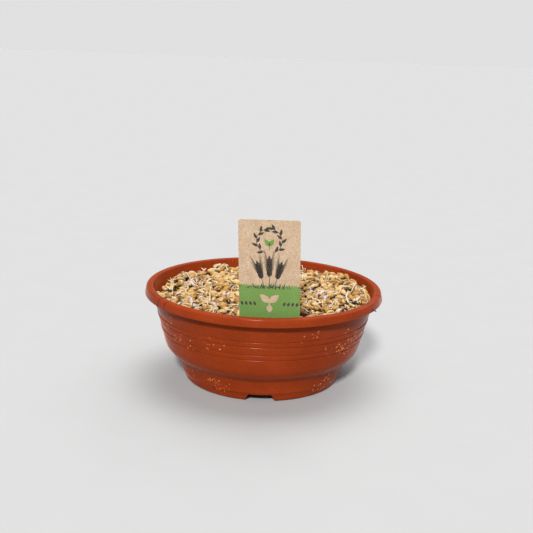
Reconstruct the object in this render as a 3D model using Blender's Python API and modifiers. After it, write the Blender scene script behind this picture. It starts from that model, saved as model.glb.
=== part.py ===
"""Potted cat grass, newly sprouted: a round moulded bowl, its peat, a bed of sprouted wheat grains and a card label.

Run with: blender --background --python part.py
Units are metres, +Z is up, the front of the bowl faces -Y, and the origin is the middle of its base on the table.
"""

import math
import random

import bmesh
import bpy
import numpy as np
from mathutils import Euler, Matrix, Vector

MM = 0.001

# The bowl's outside
POT_HEIGHT = 79.3 * MM
RIM_RADIUS = 100.0 * MM  # the skirt's lower edge, the widest place
RIM_TOP_RADIUS = 99.2 * MM  # the skirt just under its rounded top edge
RIM_ROUND = 2.0 * MM
SKIRT_HEIGHT = 6.6 * MM
MOUTH_RADIUS = 93.4 * MM
MOUTH_ROUND = 1.2 * MM
WALL = 1.4 * MM
UNDER_RIM_RADIUS = 92.6 * MM  # the upper wall where the skirt starts to hide it
UNDER_RIM_HEIGHT = 69.4 * MM
SHOULDER_RADIUS = 83.2 * MM
SHOULDER_HEIGHT = 32.4 * MM
WAIST_RADIUS = 72.1 * MM
WAIST_HEIGHT = 18.9 * MM
WAIST_EASE = 1.0 * MM
WAIST_SLOPE = 0.98  # radius gained per unit of height where the ogee leaves the waist
OGEE_PULL = 0.4  # Bezier handle length as a share of the chord
FOOT_RADIUS = 66.5 * MM
FOOT_ROUND = 3.35 * MM

# The four grooves, in two pairs with a slightly swollen band inside each pair
GROOVE_HEIGHTS = ((57.2 * MM, 52.9 * MM), (45.9 * MM, 41.6 * MM))
GROOVE_DEPTH = 0.45 * MM
GROOVE_HALF_WIDTH = 0.55 * MM
BAND_SWELL = 0.35 * MM

# Underneath: a foot ring, a raised floor, radial notches and drain holes
RING_INNER_RADIUS = 53.0 * MM
FLOOR_RADIUS = 50.5 * MM
FLOOR_HEIGHT = 7.0 * MM
FLOOR_THICKNESS = 1.6 * MM
NOTCH_AZIMUTHS = (270, 30, 150)
NOTCH_WIDTH_BELOW = 25.2 * MM
NOTCH_WIDTH_ABOVE = 18.3 * MM
NOTCH_HEIGHT = 6.35 * MM
NOTCH_INNER_REACH = 45.0 * MM
NOTCH_OUTER_REACH = 80.0 * MM
DRAIN_HOLES = 6
DRAIN_RADIUS = 3.5 * MM
DRAIN_CIRCLE = 36.0 * MM
OVERCUT = 2.0 * MM  # how far cutters run past what they cut

# The filling
GAP = 0.4 * MM  # kept between solids that touch
SOIL_TOP = 61.5 * MM
BED_LEVEL = 73.8 * MM  # the grains' tops beside the wall
BED_TILT = 2.2 * MM  # gained from the middle to the right-hand wall
BED_DOME = 2.5 * MM
MAT_RINGS = 4
MAT_SPOKES = 24
# Heaps and hollows of the bed: azimuth in degrees, radius, height, spread
BED_HEAPS = (
    (120, 84 * MM, 4.5 * MM, 8 * MM),
    (148, 84 * MM, 2.5 * MM, 14 * MM),
    (35, 84 * MM, 2.5 * MM, 25 * MM),
    (180, 78 * MM, -2.5 * MM, 9 * MM),
    (-12, 78 * MM, -2.5 * MM, 9 * MM),
)

# The grains, larger than life so that fewer of them cover the bed
GRAIN_COUNT = 240
GRAIN_LENGTH = 13.6 * MM
GRAIN_WIDTH = 8.2 * MM
GRAIN_HEIGHT = 6.6 * MM
GRAIN_BLUNTNESS = 1.4
GRAIN_SIZE_SPREAD = 0.12
GRAIN_TILT = math.radians(24)
GRAIN_STEP = 0.6 * MM  # how much one grain lies above or below the next
GRAIN_SUNK = 0.37  # share of its height below the matted layer's surface
GRAIN_TRIES = 40  # places weighed for each grain
SETTLE_STEPS = 80
SETTLE_PACE = 0.12
SETTLE_ROOM = 0.96  # of a grain's width kept between the middles of two grains
WALL_PUSH = 3.0

# The shoots, of true size
SHOOT_COUNT = 52
SHOOT_LENGTHS = (6.0 * MM, 11.0 * MM)
SHOOT_LEANS = (math.radians(12), math.radians(62))
SHOOT_ROOT_RADIUS = 0.8 * MM
SHOOT_TIP_RADIUS = 0.45 * MM
GERM_PLACE = 0.32  # of a grain's length from its middle

# The label, placed by the middle of its width at its soil line
LABEL_PLACE = Vector((5.4 * MM, -82.0 * MM, 70.8 * MM))
LABEL_WIDTH = 46.0 * MM
LABEL_THICKNESS = 0.6 * MM
LABEL_ABOVE = 81.6 * MM
LABEL_BELOW = 29.0 * MM
LABEL_SHOULDER = 2.0 * MM  # how far below the soil line its sides start to run in
LABEL_POINT_WIDTH = 6.0 * MM
LABEL_CORNER = 2.0 * MM
LABEL_LEAN = math.radians(4.9)  # its top leans to the front
LABEL_YAW = math.radians(-6.0)
LABEL_ROLL = math.radians(-1.6)

POT_STEPS = 48
SOIL_STEPS = 32
WELD = 0.01 * MM
SEED = 11

# sRGB colours of the finishes
TERRACOTTA = "#A5472A"
PEAT = "#2E1A12"
WHEAT = "#D2AE78"
KRAFT = "#D9BE9C"


def linear_colour(srgb_hex):
    """RGBA in linear light from an sRGB hex string."""
    channels = [int(srgb_hex[i : i + 2], 16) / 255 for i in (1, 3, 5)]
    return [c / 12.92 if c <= 0.04045 else ((c + 0.055) / 1.055) ** 2.4 for c in channels] + [1.0]


def finish(name, srgb_hex, roughness):
    material = bpy.data.materials.new(name)
    material.use_nodes = True
    shader = material.node_tree.nodes["Principled BSDF"]
    shader.inputs["Base Color"].default_value = linear_colour(srgb_hex)
    shader.inputs["Roughness"].default_value = roughness
    shader.inputs["Metallic"].default_value = 0.0
    return material


def new_collection(name, parent):
    collection = bpy.data.collections.new(name)
    parent.children.link(collection)
    return collection


def new_object(name, mesh, collection):
    made = bpy.data.objects.new(name, mesh)
    collection.objects.link(made)
    return made


def mesh_from_bmesh(name, bm):
    mesh = bpy.data.meshes.new(name)
    bmesh.ops.recalc_face_normals(bm, faces=bm.faces)
    bm.to_mesh(mesh)
    bm.free()
    return mesh


def as_cutter(cutter):
    cutter.hide_render = True
    cutter.display_type = "WIRE"
    return cutter


def arc(centre, radius, start, end, count):
    """Points on an arc in a plane, from start to end in degrees."""
    angles = (math.radians(start + (end - start) * i / (count - 1)) for i in range(count))
    return [(centre[0] + radius * math.cos(a), centre[1] + radius * math.sin(a)) for a in angles]


def upper_wall_slope():
    return (UNDER_RIM_RADIUS - SHOULDER_RADIUS) / (UNDER_RIM_HEIGHT - SHOULDER_HEIGHT)


def upper_wall_radius(height):
    """The plain upper wall's outer radius at a height, without its grooves."""
    return SHOULDER_RADIUS + (height - SHOULDER_HEIGHT) * upper_wall_slope()


def ogee(count):
    """The S-curve from the shoulder down to the waist, both ends included."""
    top = Vector((SHOULDER_RADIUS, SHOULDER_HEIGHT))
    low = Vector((WAIST_RADIUS, WAIST_HEIGHT))
    pull = (top - low).length * OGEE_PULL
    top_handle = top - Vector((upper_wall_slope(), 1)).normalized() * pull
    low_handle = low + Vector((WAIST_SLOPE, 1)).normalized() * pull
    points = []
    for i in range(count):
        t = i / (count - 1)
        point = (
            top * (1 - t) ** 3
            + top_handle * (3 * (1 - t) ** 2 * t)
            + low_handle * (3 * (1 - t) * t**2)
            + low * t**3
        )
        points.append(tuple(point))
    return points


def groove_pair(upper, lower):
    """Two V grooves and the swollen band between them, from the top down."""
    points = []
    for height, side, proud in (
        (upper, 1, 0),
        (upper, 0, -GROOVE_DEPTH),
        (upper, -1, BAND_SWELL / 2),
        ((upper + lower) / 2, 0, BAND_SWELL),
        (lower, 1, BAND_SWELL / 2),
        (lower, 0, -GROOVE_DEPTH),
        (lower, -1, 0),
    ):
        at = height + side * GROOVE_HALF_WIDTH
        points.append((upper_wall_radius(at) + proud, at))
    return points


def waist_ease():
    """Where the foot's wall starts to turn into the ogee."""
    slope = (WAIST_RADIUS - FOOT_RADIUS) / (WAIST_HEIGHT - FOOT_ROUND)
    return (WAIST_RADIUS - slope * WAIST_EASE, WAIST_HEIGHT - WAIST_EASE)


def foot_arc(inset, count):
    """The rounded turn from the foot's wall to the ring that the bowl stands on."""
    centre = (FOOT_RADIUS - FOOT_ROUND, FOOT_ROUND)
    return arc(centre, FOOT_ROUND - inset, 0, -90, count)


def outer_profile():
    """The outside of the bowl as if it were solid, from the axis above to the axis below."""
    skirt_low = POT_HEIGHT - SKIRT_HEIGHT
    under_flange = POT_HEIGHT - WALL
    rim_centre = (RIM_TOP_RADIUS - RIM_ROUND, POT_HEIGHT - RIM_ROUND)
    points = [(0, POT_HEIGHT)]
    points += arc(rim_centre, RIM_ROUND, 90, 0, 4)
    points += [
        (RIM_RADIUS, skirt_low),
        (RIM_RADIUS - WALL, skirt_low),
        (RIM_TOP_RADIUS - WALL, under_flange),
        (upper_wall_radius(under_flange), under_flange),
    ]
    for upper, lower in GROOVE_HEIGHTS:
        points += groove_pair(upper, lower)
    points += ogee(7)
    points.append(waist_ease())
    points += foot_arc(0, 4)
    points += [(RING_INNER_RADIUS, 0), (FLOOR_RADIUS, FLOOR_HEIGHT), (0, FLOOR_HEIGHT)]
    return points


def drawn_in(points, inset):
    """The inner points of an outline that runs downwards, each moved square to it towards the axis."""
    moved = []
    for before, point, after in zip(points, points[1:], points[2:]):
        along = Vector((after[0] - before[0], after[1] - before[1])).normalized()
        moved.append((point[0] + along.y * inset, point[1] - along.x * inset))
    return moved


def cavity_profile(shrink, top):
    """The inside of the bowl up to a height, from the axis above to the axis below.

    shrink draws it in from the moulded surface, so that a filling made from it clears the bowl.
    """
    inset = WALL + shrink
    wall_top = (upper_wall_radius(top), top)
    outside = [wall_top] + ogee(5) + [waist_ease(), foot_arc(0, 2)[0]]
    floor = FLOOR_HEIGHT + FLOOR_THICKNESS + shrink
    mouth = upper_wall_radius(top) - inset * math.hypot(1, upper_wall_slope())
    points = [(0, top), (mouth, top)]
    points += drawn_in(outside, inset)
    points += foot_arc(inset, 3)
    points += [(RING_INNER_RADIUS + inset, inset), (FLOOR_RADIUS + inset, floor), (0, floor)]
    return points


def mouth_profile():
    """The cutter that opens the bowl's mouth and eases its inner edge."""
    above = POT_HEIGHT + OVERCUT
    below = POT_HEIGHT - MOUTH_ROUND
    eased = MOUTH_RADIUS + MOUTH_ROUND
    return [
        (0, above),
        (eased, above),
        (eased - MOUTH_ROUND / 3, POT_HEIGHT),
        (MOUTH_RADIUS, POT_HEIGHT - MOUTH_ROUND / 3),
        (MOUTH_RADIUS - upper_wall_slope() * MOUTH_ROUND, below),
        (0, below),
    ]


def turned(name, profile, steps, collection):
    """A solid of revolution about Z, from a profile that runs down its outer side."""
    mesh = bpy.data.meshes.new(name)
    edges = [(i, i + 1) for i in range(len(profile) - 1)]
    mesh.from_pydata([(radius, 0, height) for radius, height in profile], edges, [])
    made = new_object(name, mesh, collection)
    screw = made.modifiers.new("Turn", "SCREW")
    screw.axis = "Z"
    screw.steps = steps
    screw.render_steps = steps
    screw.use_merge_vertices = True
    screw.merge_threshold = WELD
    screw.use_smooth_shade = True
    return made


def cut_with(target, other, name):
    cut = target.modifiers.new(name, "BOOLEAN")
    cut.operation = "DIFFERENCE"
    if isinstance(other, bpy.types.Collection):
        cut.operand_type = "COLLECTION"
        cut.collection = other
    else:
        cut.object = other
    return cut


def notch_bar(name, azimuth, grow, collection):
    """A radial bar with slanted sides, through the foot ring. grow swells its top and sides."""
    bm = bmesh.new()
    bmesh.ops.create_cube(bm, size=1)
    flare = (NOTCH_WIDTH_BELOW - NOTCH_WIDTH_ABOVE) / 2 / NOTCH_HEIGHT
    for vertex in bm.verts:
        reach = NOTCH_OUTER_REACH if vertex.co.x > 0 else NOTCH_INNER_REACH
        height = NOTCH_HEIGHT + grow if vertex.co.z > 0 else -OVERCUT
        half_width = NOTCH_WIDTH_BELOW / 2 - flare * height + grow
        vertex.co = (reach, math.copysign(half_width, vertex.co.y), height)
    bar = new_object(f"{name}_{azimuth}", mesh_from_bmesh(name, bm), collection)
    bar.rotation_euler.z = math.radians(azimuth)
    return as_cutter(bar)


def drain_cutter(index, collection):
    bm = bmesh.new()
    bmesh.ops.create_cone(
        bm,
        cap_ends=True,
        segments=12,
        radius1=DRAIN_RADIUS,
        radius2=DRAIN_RADIUS,
        depth=FLOOR_THICKNESS + 2 * OVERCUT,
    )
    hole = new_object(f"drain_{index}", mesh_from_bmesh("drain", bm), collection)
    azimuth = math.tau * index / DRAIN_HOLES
    across = (DRAIN_CIRCLE * math.cos(azimuth), DRAIN_CIRCLE * math.sin(azimuth))
    hole.location = (*across, FLOOR_HEIGHT + FLOOR_THICKNESS / 2)
    return as_cutter(hole)


def cavity(name, shrink, top, steps, collection, cutters):
    """The bowl's inside as a solid, without the raised housings over the notches."""
    made = turned(name, cavity_profile(shrink, top), steps, collection)
    housings = new_collection(f"{name}_housings", cutters)
    for azimuth in NOTCH_AZIMUTHS:
        notch_bar(f"{name}_housing", azimuth, WALL + shrink, housings)
    cut_with(made, housings, "Notch housings")
    return made


def build_pot(parts, cutters):
    pot = turned("pot", outer_profile(), POT_STEPS, parts)
    pot.data.materials.append(finish("terracotta_polypropylene", TERRACOTTA, 0.42))
    inside = cavity("pot_inside", 0, POT_HEIGHT - MOUTH_ROUND / 2, POT_STEPS, cutters, cutters)
    mouth = turned("pot_mouth", mouth_profile(), POT_STEPS, cutters)
    through = new_collection("pot_through_cuts", cutters)
    for azimuth in NOTCH_AZIMUTHS:
        notch_bar("notch", azimuth, 0, through)
    for index in range(DRAIN_HOLES):
        drain_cutter(index, through)
    cut_with(pot, as_cutter(inside), "Inside")
    cut_with(pot, as_cutter(mouth), "Mouth")
    cut_with(pot, through, "Notches and drains")


def label_matrix():
    """Where the card stands. Its outline is drawn in X and Y, and Y is turned up to Z."""
    turn = Euler((0, 0, LABEL_YAW)).to_matrix() @ Euler((LABEL_LEAN, 0, 0)).to_matrix()
    turn = turn @ Euler((0, LABEL_ROLL, 0)).to_matrix() @ Euler((math.pi / 2, 0, 0)).to_matrix()
    return Matrix.Translation(LABEL_PLACE) @ turn.to_4x4()


def label_outline(grow):
    """The card's outline, clockwise from the left end of its top edge, in its own plane."""
    half = LABEL_WIDTH / 2
    corner = (half - LABEL_CORNER, LABEL_ABOVE - LABEL_CORNER)
    right = arc(corner, LABEL_CORNER + grow, 90, 0, 5)
    below = [
        (half + grow, -LABEL_SHOULDER),
        (LABEL_POINT_WIDTH / 2 + grow, LABEL_POINT_WIDTH / 2 - LABEL_BELOW),
    ]
    left = [(-x, y) for x, y in reversed(right + below)]
    return right + below + [(0, -LABEL_BELOW - grow)] + left


def card(name, grow, collection):
    """The card, or with grow the slot that it stands in, as a closed mesh."""
    curve = bpy.data.curves.new(name, "CURVE")
    curve.dimensions = "2D"
    curve.fill_mode = "BOTH"
    curve.extrude = LABEL_THICKNESS / 2 + grow
    outline = label_outline(grow)
    spline = curve.splines.new("POLY")
    spline.points.add(len(outline) - 1)
    for point, (x, y) in zip(spline.points, outline):
        point.co = (x, y, 0, 1)
    spline.use_cyclic_u = True
    drawn = new_object(f"{name}_outline", curve, collection)
    bpy.context.view_layer.update()
    graph = bpy.context.evaluated_depsgraph_get()
    bm = bmesh.new()
    bm.from_mesh(bpy.data.meshes.new_from_object(drawn.evaluated_get(graph)))
    bmesh.ops.remove_doubles(bm, verts=bm.verts, dist=WELD)
    made = new_object(name, mesh_from_bmesh(name, bm), collection)
    made.matrix_world = label_matrix()
    bpy.data.objects.remove(drawn)
    return made


def build_soil(parts, cutters, slot):
    soil = cavity("soil", GAP, SOIL_TOP, SOIL_STEPS, parts, cutters)
    soil.data.materials.append(finish("moist_peat", PEAT, 0.95))
    cut_with(soil, slot, "Label slot")


def bed_height(x, y):
    """The level of the grains' tops at a place on the bed."""
    across = (x * x + y * y) / MOUTH_RADIUS**2
    level = BED_LEVEL + BED_TILT * x / MOUTH_RADIUS + BED_DOME * (1 - across)
    for azimuth, radius, height, spread in BED_HEAPS:
        angle = math.radians(azimuth)
        distance = math.hypot(x - radius * math.cos(angle), y - radius * math.sin(angle))
        level += height * math.exp(-((distance / spread) ** 2))
    return level


def mat_height(x, y):
    """The level of the matted layer that the top grains are rooted in."""
    return bed_height(x, y) - GRAIN_HEIGHT * (1 - GRAIN_SUNK)


def bed_radius(height):
    """How far out the grains may reach at a height."""
    return upper_wall_radius(height) - WALL * math.hypot(1, upper_wall_slope()) - 2 * GAP


def lobes(x, y, heading):
    """A lying grain seen from above, as three discs along it."""
    reach = (GRAIN_LENGTH - GRAIN_WIDTH) / 2
    along = np.array((math.cos(heading), math.sin(heading))) * reach
    middle = np.array((x, y))
    return np.array((middle - along, middle, middle + along))


def scattered(count, draw):
    """Places and headings spread over the bed: each grain takes the freest of several random ones."""
    wall = bed_radius(BED_LEVEL) - GRAIN_WIDTH / 2
    taken = np.empty((0, 2))
    chosen = []
    for _ in range(count):
        best, best_room, best_lobes = None, -math.inf, None
        for _ in range(GRAIN_TRIES):
            angle = draw.uniform(0, math.tau)
            radius = wall * math.sqrt(draw.random())
            spot = (radius * math.cos(angle), radius * math.sin(angle), draw.uniform(0, math.pi))
            discs = lobes(*spot)
            room = wall - np.hypot(discs[:, 0], discs[:, 1]).max() + GRAIN_WIDTH
            if len(taken):
                apart = discs[:, None] - taken[None]
                room = min(room, np.hypot(apart[..., 0], apart[..., 1]).min())
            if room > best_room:
                best, best_room, best_lobes = spot, room, discs
        taken = np.concatenate((taken, best_lobes))
        chosen.append(best)
    return chosen


def settled(spots):
    """The same grains shaken apart, until they hardly overlap and none crosses the wall."""
    spots = np.array(spots)
    wall = bed_radius(BED_LEVEL) - GRAIN_WIDTH / 2
    reach = (GRAIN_LENGTH - GRAIN_WIDTH) / 2
    owner = np.repeat(np.arange(len(spots)), 3)
    same_grain = np.where(owner[:, None] == owner, math.inf, 0)
    for _ in range(SETTLE_STEPS):
        discs = np.concatenate([lobes(*spot) for spot in spots])
        apart = discs[:, None] - discs[None]
        distance = np.hypot(apart[..., 0], apart[..., 1]) + same_grain
        crowding = np.clip(GRAIN_WIDTH * SETTLE_ROOM - distance, 0, None) / distance
        force = (apart * crowding[..., None]).sum(axis=1)
        radius = np.hypot(discs[:, 0], discs[:, 1])
        force -= discs * (np.clip(radius - wall, 0, None) / radius * WALL_PUSH)[:, None]
        force = force.reshape(-1, 3, 2)
        torn = force[:, 2] - force[:, 0]
        twist = np.cos(spots[:, 2]) * torn[:, 1] - np.sin(spots[:, 2]) * torn[:, 0]
        spots[:, :2] += force.sum(axis=1) * SETTLE_PACE
        spots[:, 2] += twist / reach * SETTLE_PACE
    return spots.tolist()


def clear_of_wall(bm):
    """Moves a piece towards the axis until it clears the bowl's wall."""
    excess = max(math.hypot(v.co.x, v.co.y) - bed_radius(v.co.z) for v in bm.verts)
    if excess > 0:
        middle = sum((vertex.co for vertex in bm.verts), Vector()) / len(bm.verts)
        outward = Vector((middle.x, middle.y, 0)).normalized()
        bmesh.ops.translate(bm, verts=bm.verts, vec=-outward * (excess + GAP / 4))


def add_grain(collection, index, spot, draw):
    """One few-sided swollen grain lying on the bed. Returns where a shoot would leave it."""
    bm = bmesh.new()
    bmesh.ops.create_icosphere(bm, subdivisions=1, radius=0.5)
    # Its two rings of corners are drawn apart, so that its ends are blunt.
    for vertex in bm.verts:
        if abs(vertex.co.z) < 0.4:
            vertex.co.z *= GRAIN_BLUNTNESS
    size = 1 + draw.uniform(-GRAIN_SIZE_SPREAD, GRAIN_SIZE_SPREAD)
    tilt = draw.uniform(-GRAIN_TILT, GRAIN_TILT)
    spin = Matrix.Rotation(draw.uniform(0, math.tau), 4, "Z")
    x, y, heading = spot
    # The grain's long axis is its own Z, and its X is upright once it lies down.
    scale = Matrix.Diagonal((GRAIN_HEIGHT * size, GRAIN_WIDTH * size, GRAIN_LENGTH * size, 1))
    lying = Euler((0, math.pi / 2 + tilt, heading)).to_matrix().to_4x4()
    level = bed_height(x, y) - GRAIN_HEIGHT / 2 + draw.uniform(-GRAIN_STEP, GRAIN_STEP)
    centre = Vector((x, y, level))
    placed = Matrix.Translation(centre) @ lying
    bmesh.ops.transform(bm, matrix=placed @ scale @ spin, verts=bm.verts)
    clear_of_wall(bm)
    new_object(f"grain_{index}", mesh_from_bmesh("grain", bm), collection)
    return placed @ Vector((0, 0, GRAIN_LENGTH * size * GERM_PLACE))


def add_shoot(collection, index, start, draw):
    """A three-sided tapered shoot that leans away from upright."""
    bm = bmesh.new()
    length = draw.uniform(*SHOOT_LENGTHS)
    bmesh.ops.create_cone(
        bm,
        cap_ends=True,
        segments=3,
        radius1=SHOOT_ROOT_RADIUS,
        radius2=SHOOT_TIP_RADIUS,
        depth=length,
    )
    turn = Euler((draw.uniform(*SHOOT_LEANS), 0, draw.uniform(0, math.tau))).to_matrix().to_4x4()
    rooted = Matrix.Translation((0, 0, length / 2 - 2 * SHOOT_ROOT_RADIUS))
    bmesh.ops.transform(bm, matrix=Matrix.Translation(start) @ turn @ rooted, verts=bm.verts)
    clear_of_wall(bm)
    new_object(f"shoot_{index}", mesh_from_bmesh("shoot", bm), collection)


def bed_mat():
    """The matted layer under the top grains: a disc whose upper face follows the bed."""
    bm = bmesh.new()
    low = SOIL_TOP + GAP
    foot = bed_radius(low)
    bmesh.ops.create_circle(bm, cap_ends=True, segments=MAT_SPOKES, radius=foot)
    bmesh.ops.translate(bm, verts=bm.verts, vec=(0, 0, low))
    rows = [list(bm.verts)]
    for ring in range(MAT_RINGS, 0, -1):
        row = []
        for vertex in rows[0]:
            edge = bed_radius(mat_height(vertex.co.x, vertex.co.y))
            x, y = (c / foot * edge * ring / MAT_RINGS for c in vertex.co.xy)
            row.append(bm.verts.new((x, y, mat_height(x, y))))
        rows.append(row)
    for below, above in zip(rows, rows[1:]):
        for spoke in range(MAT_SPOKES):
            after = (spoke + 1) % MAT_SPOKES
            bm.faces.new((below[spoke], below[after], above[after], above[spoke]))
    middle = bm.verts.new((0, 0, mat_height(0, 0)))
    for spoke in range(MAT_SPOKES):
        bm.faces.new((rows[-1][spoke], rows[-1][(spoke + 1) % MAT_SPOKES], middle))
    return mesh_from_bmesh("grain_bed", bm)


def keep_largest_shell(mesh):
    """Drops sealed hollows and loose scraps that fusing leaves: each is a shell of its own."""
    bm = bmesh.new()
    bm.from_mesh(mesh)
    waiting = set(bm.faces)
    shells = []
    while waiting:
        shell, front = set(), [waiting.pop()]
        while front:
            face = front.pop()
            shell.add(face)
            beside = {other for edge in face.edges for other in edge.link_faces} & waiting
            waiting -= beside
            front.extend(beside)
        shells.append(shell)
    shells.sort(key=len)
    spare = [face for shell in shells[:-1] for face in shell]
    bmesh.ops.delete(bm, geom=spare, context="FACES")
    bm.to_mesh(mesh)
    bm.free()


def build_grain_bed(parts, slot):
    draw = random.Random(SEED)
    bed = new_object("grain_bed", bed_mat(), parts)
    bed.data.materials.append(finish("soaked_wheat", WHEAT, 0.5))
    loose = new_collection("grain_pieces", bpy.context.scene.collection)
    starts = []
    for index, spot in enumerate(settled(scattered(GRAIN_COUNT, draw))):
        starts.append(add_grain(loose, index, spot, draw))
    for index, start in enumerate(draw.sample(starts, SHOOT_COUNT)):
        add_shoot(loose, index, start, draw)
    fuse = bed.modifiers.new("Grains and shoots", "BOOLEAN")
    fuse.operation = "UNION"
    fuse.operand_type = "COLLECTION"
    fuse.collection = loose
    fuse.solver = "MANIFOLD"
    cut_with(bed, slot, "Label slot").solver = "MANIFOLD"
    bpy.context.view_layer.update()
    graph = bpy.context.evaluated_depsgraph_get()
    fused = bpy.data.meshes.new_from_object(bed.evaluated_get(graph))
    keep_largest_shell(fused)
    bed.modifiers.clear()
    bed.data = fused
    for piece in list(loose.objects):
        bpy.data.objects.remove(piece)
    bpy.data.collections.remove(loose)


def main():
    for old in list(bpy.data.objects):
        bpy.data.objects.remove(old)
    parts = new_collection("potted_cat_grass", bpy.context.scene.collection)
    cutters = new_collection("cutters", bpy.context.scene.collection)
    cutters.hide_render = True
    build_pot(parts, cutters)
    slot = as_cutter(card("label_slot", GAP, cutters))
    build_soil(parts, cutters, slot)
    build_grain_bed(parts, slot)
    label = card("label", 0, parts)
    label.data.materials.append(finish("kraft_card", KRAFT, 0.85))


main()
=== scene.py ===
"""Potted cat grass, newly sprouted: the looks of the bowl, its peat, the sprouted wheat and the card label.

It is laid out as a Blender add-on and run as a script. Units are metres, +Z is up, the front of the bowl
faces -Y, and the origin is the middle of its base on the table.
"""

import functools
import math

import bmesh
import bpy
import numpy as np
from bpy.props import FloatProperty, FloatVectorProperty, IntProperty, PointerProperty
from bpy.types import Operator, Panel, PropertyGroup
from mathutils import Euler, Matrix, Vector, noise


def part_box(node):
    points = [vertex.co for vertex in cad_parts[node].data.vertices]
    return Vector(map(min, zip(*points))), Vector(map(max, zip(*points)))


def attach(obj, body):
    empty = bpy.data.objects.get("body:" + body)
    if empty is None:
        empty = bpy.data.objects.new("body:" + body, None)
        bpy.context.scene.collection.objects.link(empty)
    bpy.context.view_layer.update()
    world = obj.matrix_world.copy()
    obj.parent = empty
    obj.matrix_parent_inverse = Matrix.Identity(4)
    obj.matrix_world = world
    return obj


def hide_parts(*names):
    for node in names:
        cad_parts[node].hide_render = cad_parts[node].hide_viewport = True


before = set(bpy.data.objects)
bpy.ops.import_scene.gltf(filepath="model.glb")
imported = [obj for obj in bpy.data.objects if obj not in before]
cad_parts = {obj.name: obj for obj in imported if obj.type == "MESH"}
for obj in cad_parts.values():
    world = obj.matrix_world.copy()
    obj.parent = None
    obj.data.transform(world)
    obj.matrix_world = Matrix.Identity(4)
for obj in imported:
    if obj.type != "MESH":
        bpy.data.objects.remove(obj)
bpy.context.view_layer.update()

bl_info = {
    "name": "Potted cat grass",
    "version": (1, 0, 0),
    "blender": (4, 5, 0),
    "location": "View3D > Sidebar > Cat grass",
    "description": "Dresses a bowl of newly sprouted wheat around its packed solids",
    "category": "Add Mesh",
}

MM = 0.001
POT_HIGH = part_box("pot")[1]

# The bowl, as moulded. Its height and its rim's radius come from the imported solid.
RIM_TOP_INSET = 0.8 * MM
RIM_ROUND = 2.0 * MM
SKIRT_HEIGHT = 6.6 * MM
SKIRT_LIP = 0.35 * MM
MOUTH_RADIUS = 93.4 * MM
MOUTH_ROUND = 1.2 * MM
WALL = 1.4 * MM
UNDER_RIM_RADIUS = 92.6 * MM
UNDER_RIM_HEIGHT = 69.4 * MM
SHOULDER_RADIUS = 83.2 * MM
SHOULDER_HEIGHT = 32.4 * MM
WAIST_RADIUS = 72.1 * MM
WAIST_HEIGHT = 18.9 * MM
WAIST_EASE = 1.0 * MM
WAIST_SLOPE = 0.98
OGEE_PULL = 0.4
FOOT_RADIUS = 66.5 * MM
FOOT_ROUND = 3.35 * MM
FOOT_LINE_HEIGHT = 8.0 * MM
FOOT_LINE_PROUD = 0.12 * MM
GROOVE_HEIGHTS = ((57.2 * MM, 52.9 * MM), (45.9 * MM, 41.6 * MM))
GROOVE_HALF_WIDTH = 0.55 * MM
BAND_SWELL = 0.35 * MM
RING_INNER_RADIUS = 53.0 * MM
FLOOR_RADIUS = 50.5 * MM
FLOOR_HEIGHT = 7.0 * MM
FLOOR_THICKNESS = 1.6 * MM
NOTCH_AZIMUTHS = (270, 30, 150)
NOTCH_WIDTH_BELOW = 25.2 * MM
NOTCH_WIDTH_ABOVE = 18.3 * MM
NOTCH_HEIGHT = 6.35 * MM
NOTCH_REACH = (45.0 * MM, 80.0 * MM)
DRAIN_HOLES = 6
DRAIN_RADIUS = 3.5 * MM
DRAIN_CIRCLE = 36.0 * MM
BOWL_STEPS = 192

# Thin lines scored across the rim: azimuth at the mouth, azimuth at the skirt, and how far down the inside
RIM_LINES = (
    (215.0, 213.4, 0.0),
    (221.8, 218.6, 0.0),
    (344.8, 349.6, 0.0),
    (27.6, 28.2, 9 * MM),
)
RIM_LINE_RADIUS = 0.5 * MM
RIM_LINE_SINK = 0.25 * MM
LINE_SHADE_RADIUS = 0.38 * MM  # dark tubes laid in them, which paint the shade in the lines

# The bed of grains, as in the solid: its level at the wall, its heaps and its hollows
BED_LEVEL = 73.8 * MM
BED_TILT = 2.2 * MM
BED_DOME = 2.5 * MM
BED_HEAPS = (
    (120, 84 * MM, 6.0 * MM, 8 * MM),
    (148, 84 * MM, 2.5 * MM, 14 * MM),
    (35, 84 * MM, 2.5 * MM, 25 * MM),
    (180, 78 * MM, -2.5 * MM, 9 * MM),
    (-12, 78 * MM, -2.5 * MM, 9 * MM),
)
# Places where lumps of peat show among the grains: x, y and how far they reach, in mm
PEAT_SPOTS = (
    (-80, 4, 2.8),
    (-75, 8, 2.4),
    (-38, -6, 2.4),
    (-43, 5, 1.6),
    (-67, 60, 2.2),
    (-50, -42, 1.8),
    (-26, -37, 2.4),
    (-43, -56, 1.5),
    (44, 7, 2.2),
    (76, -28, 5.6),
    (80, -37, 3.4),
    (69, -32, 2.6),
    (33, -63, 4.2),
    (64, -40, 2.2),
    (65, -50, 2.4),
    (34, -20, 1.3),
    (34, 77, 2.5),
    (71, 7, 1.5),
    (46, -19, 1.3),
)
SPOT_DEPTH = 4.5 * MM  # how far the grains lie lower there
PEAT_BELOW = 8.2 * MM  # how far the peat lies below the grains' tops
SINK = 0.5 * MM  # how far each grain beds into those under it
CELL = 0.5 * MM  # pitch of the grid that the heap is laid on
GRID_REACH = 95 * MM
SPOTS_LOOKED_AT = 48  # places that are compared for a grain, fewer as the heap fills up
TURNS_TRIED = 5
MISSES_ALLOWED = 400  # grains in a row that find no place before the heap counts as full
WALL_ZONE = 86 * MM  # past this radius the grains lie along the wall
DRAWN_FINE = 0.3  # grains that show more of their upper side than this are drawn finely
CAN_SPROUT = 0.2  # and strands grow from those that show more than this

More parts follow.
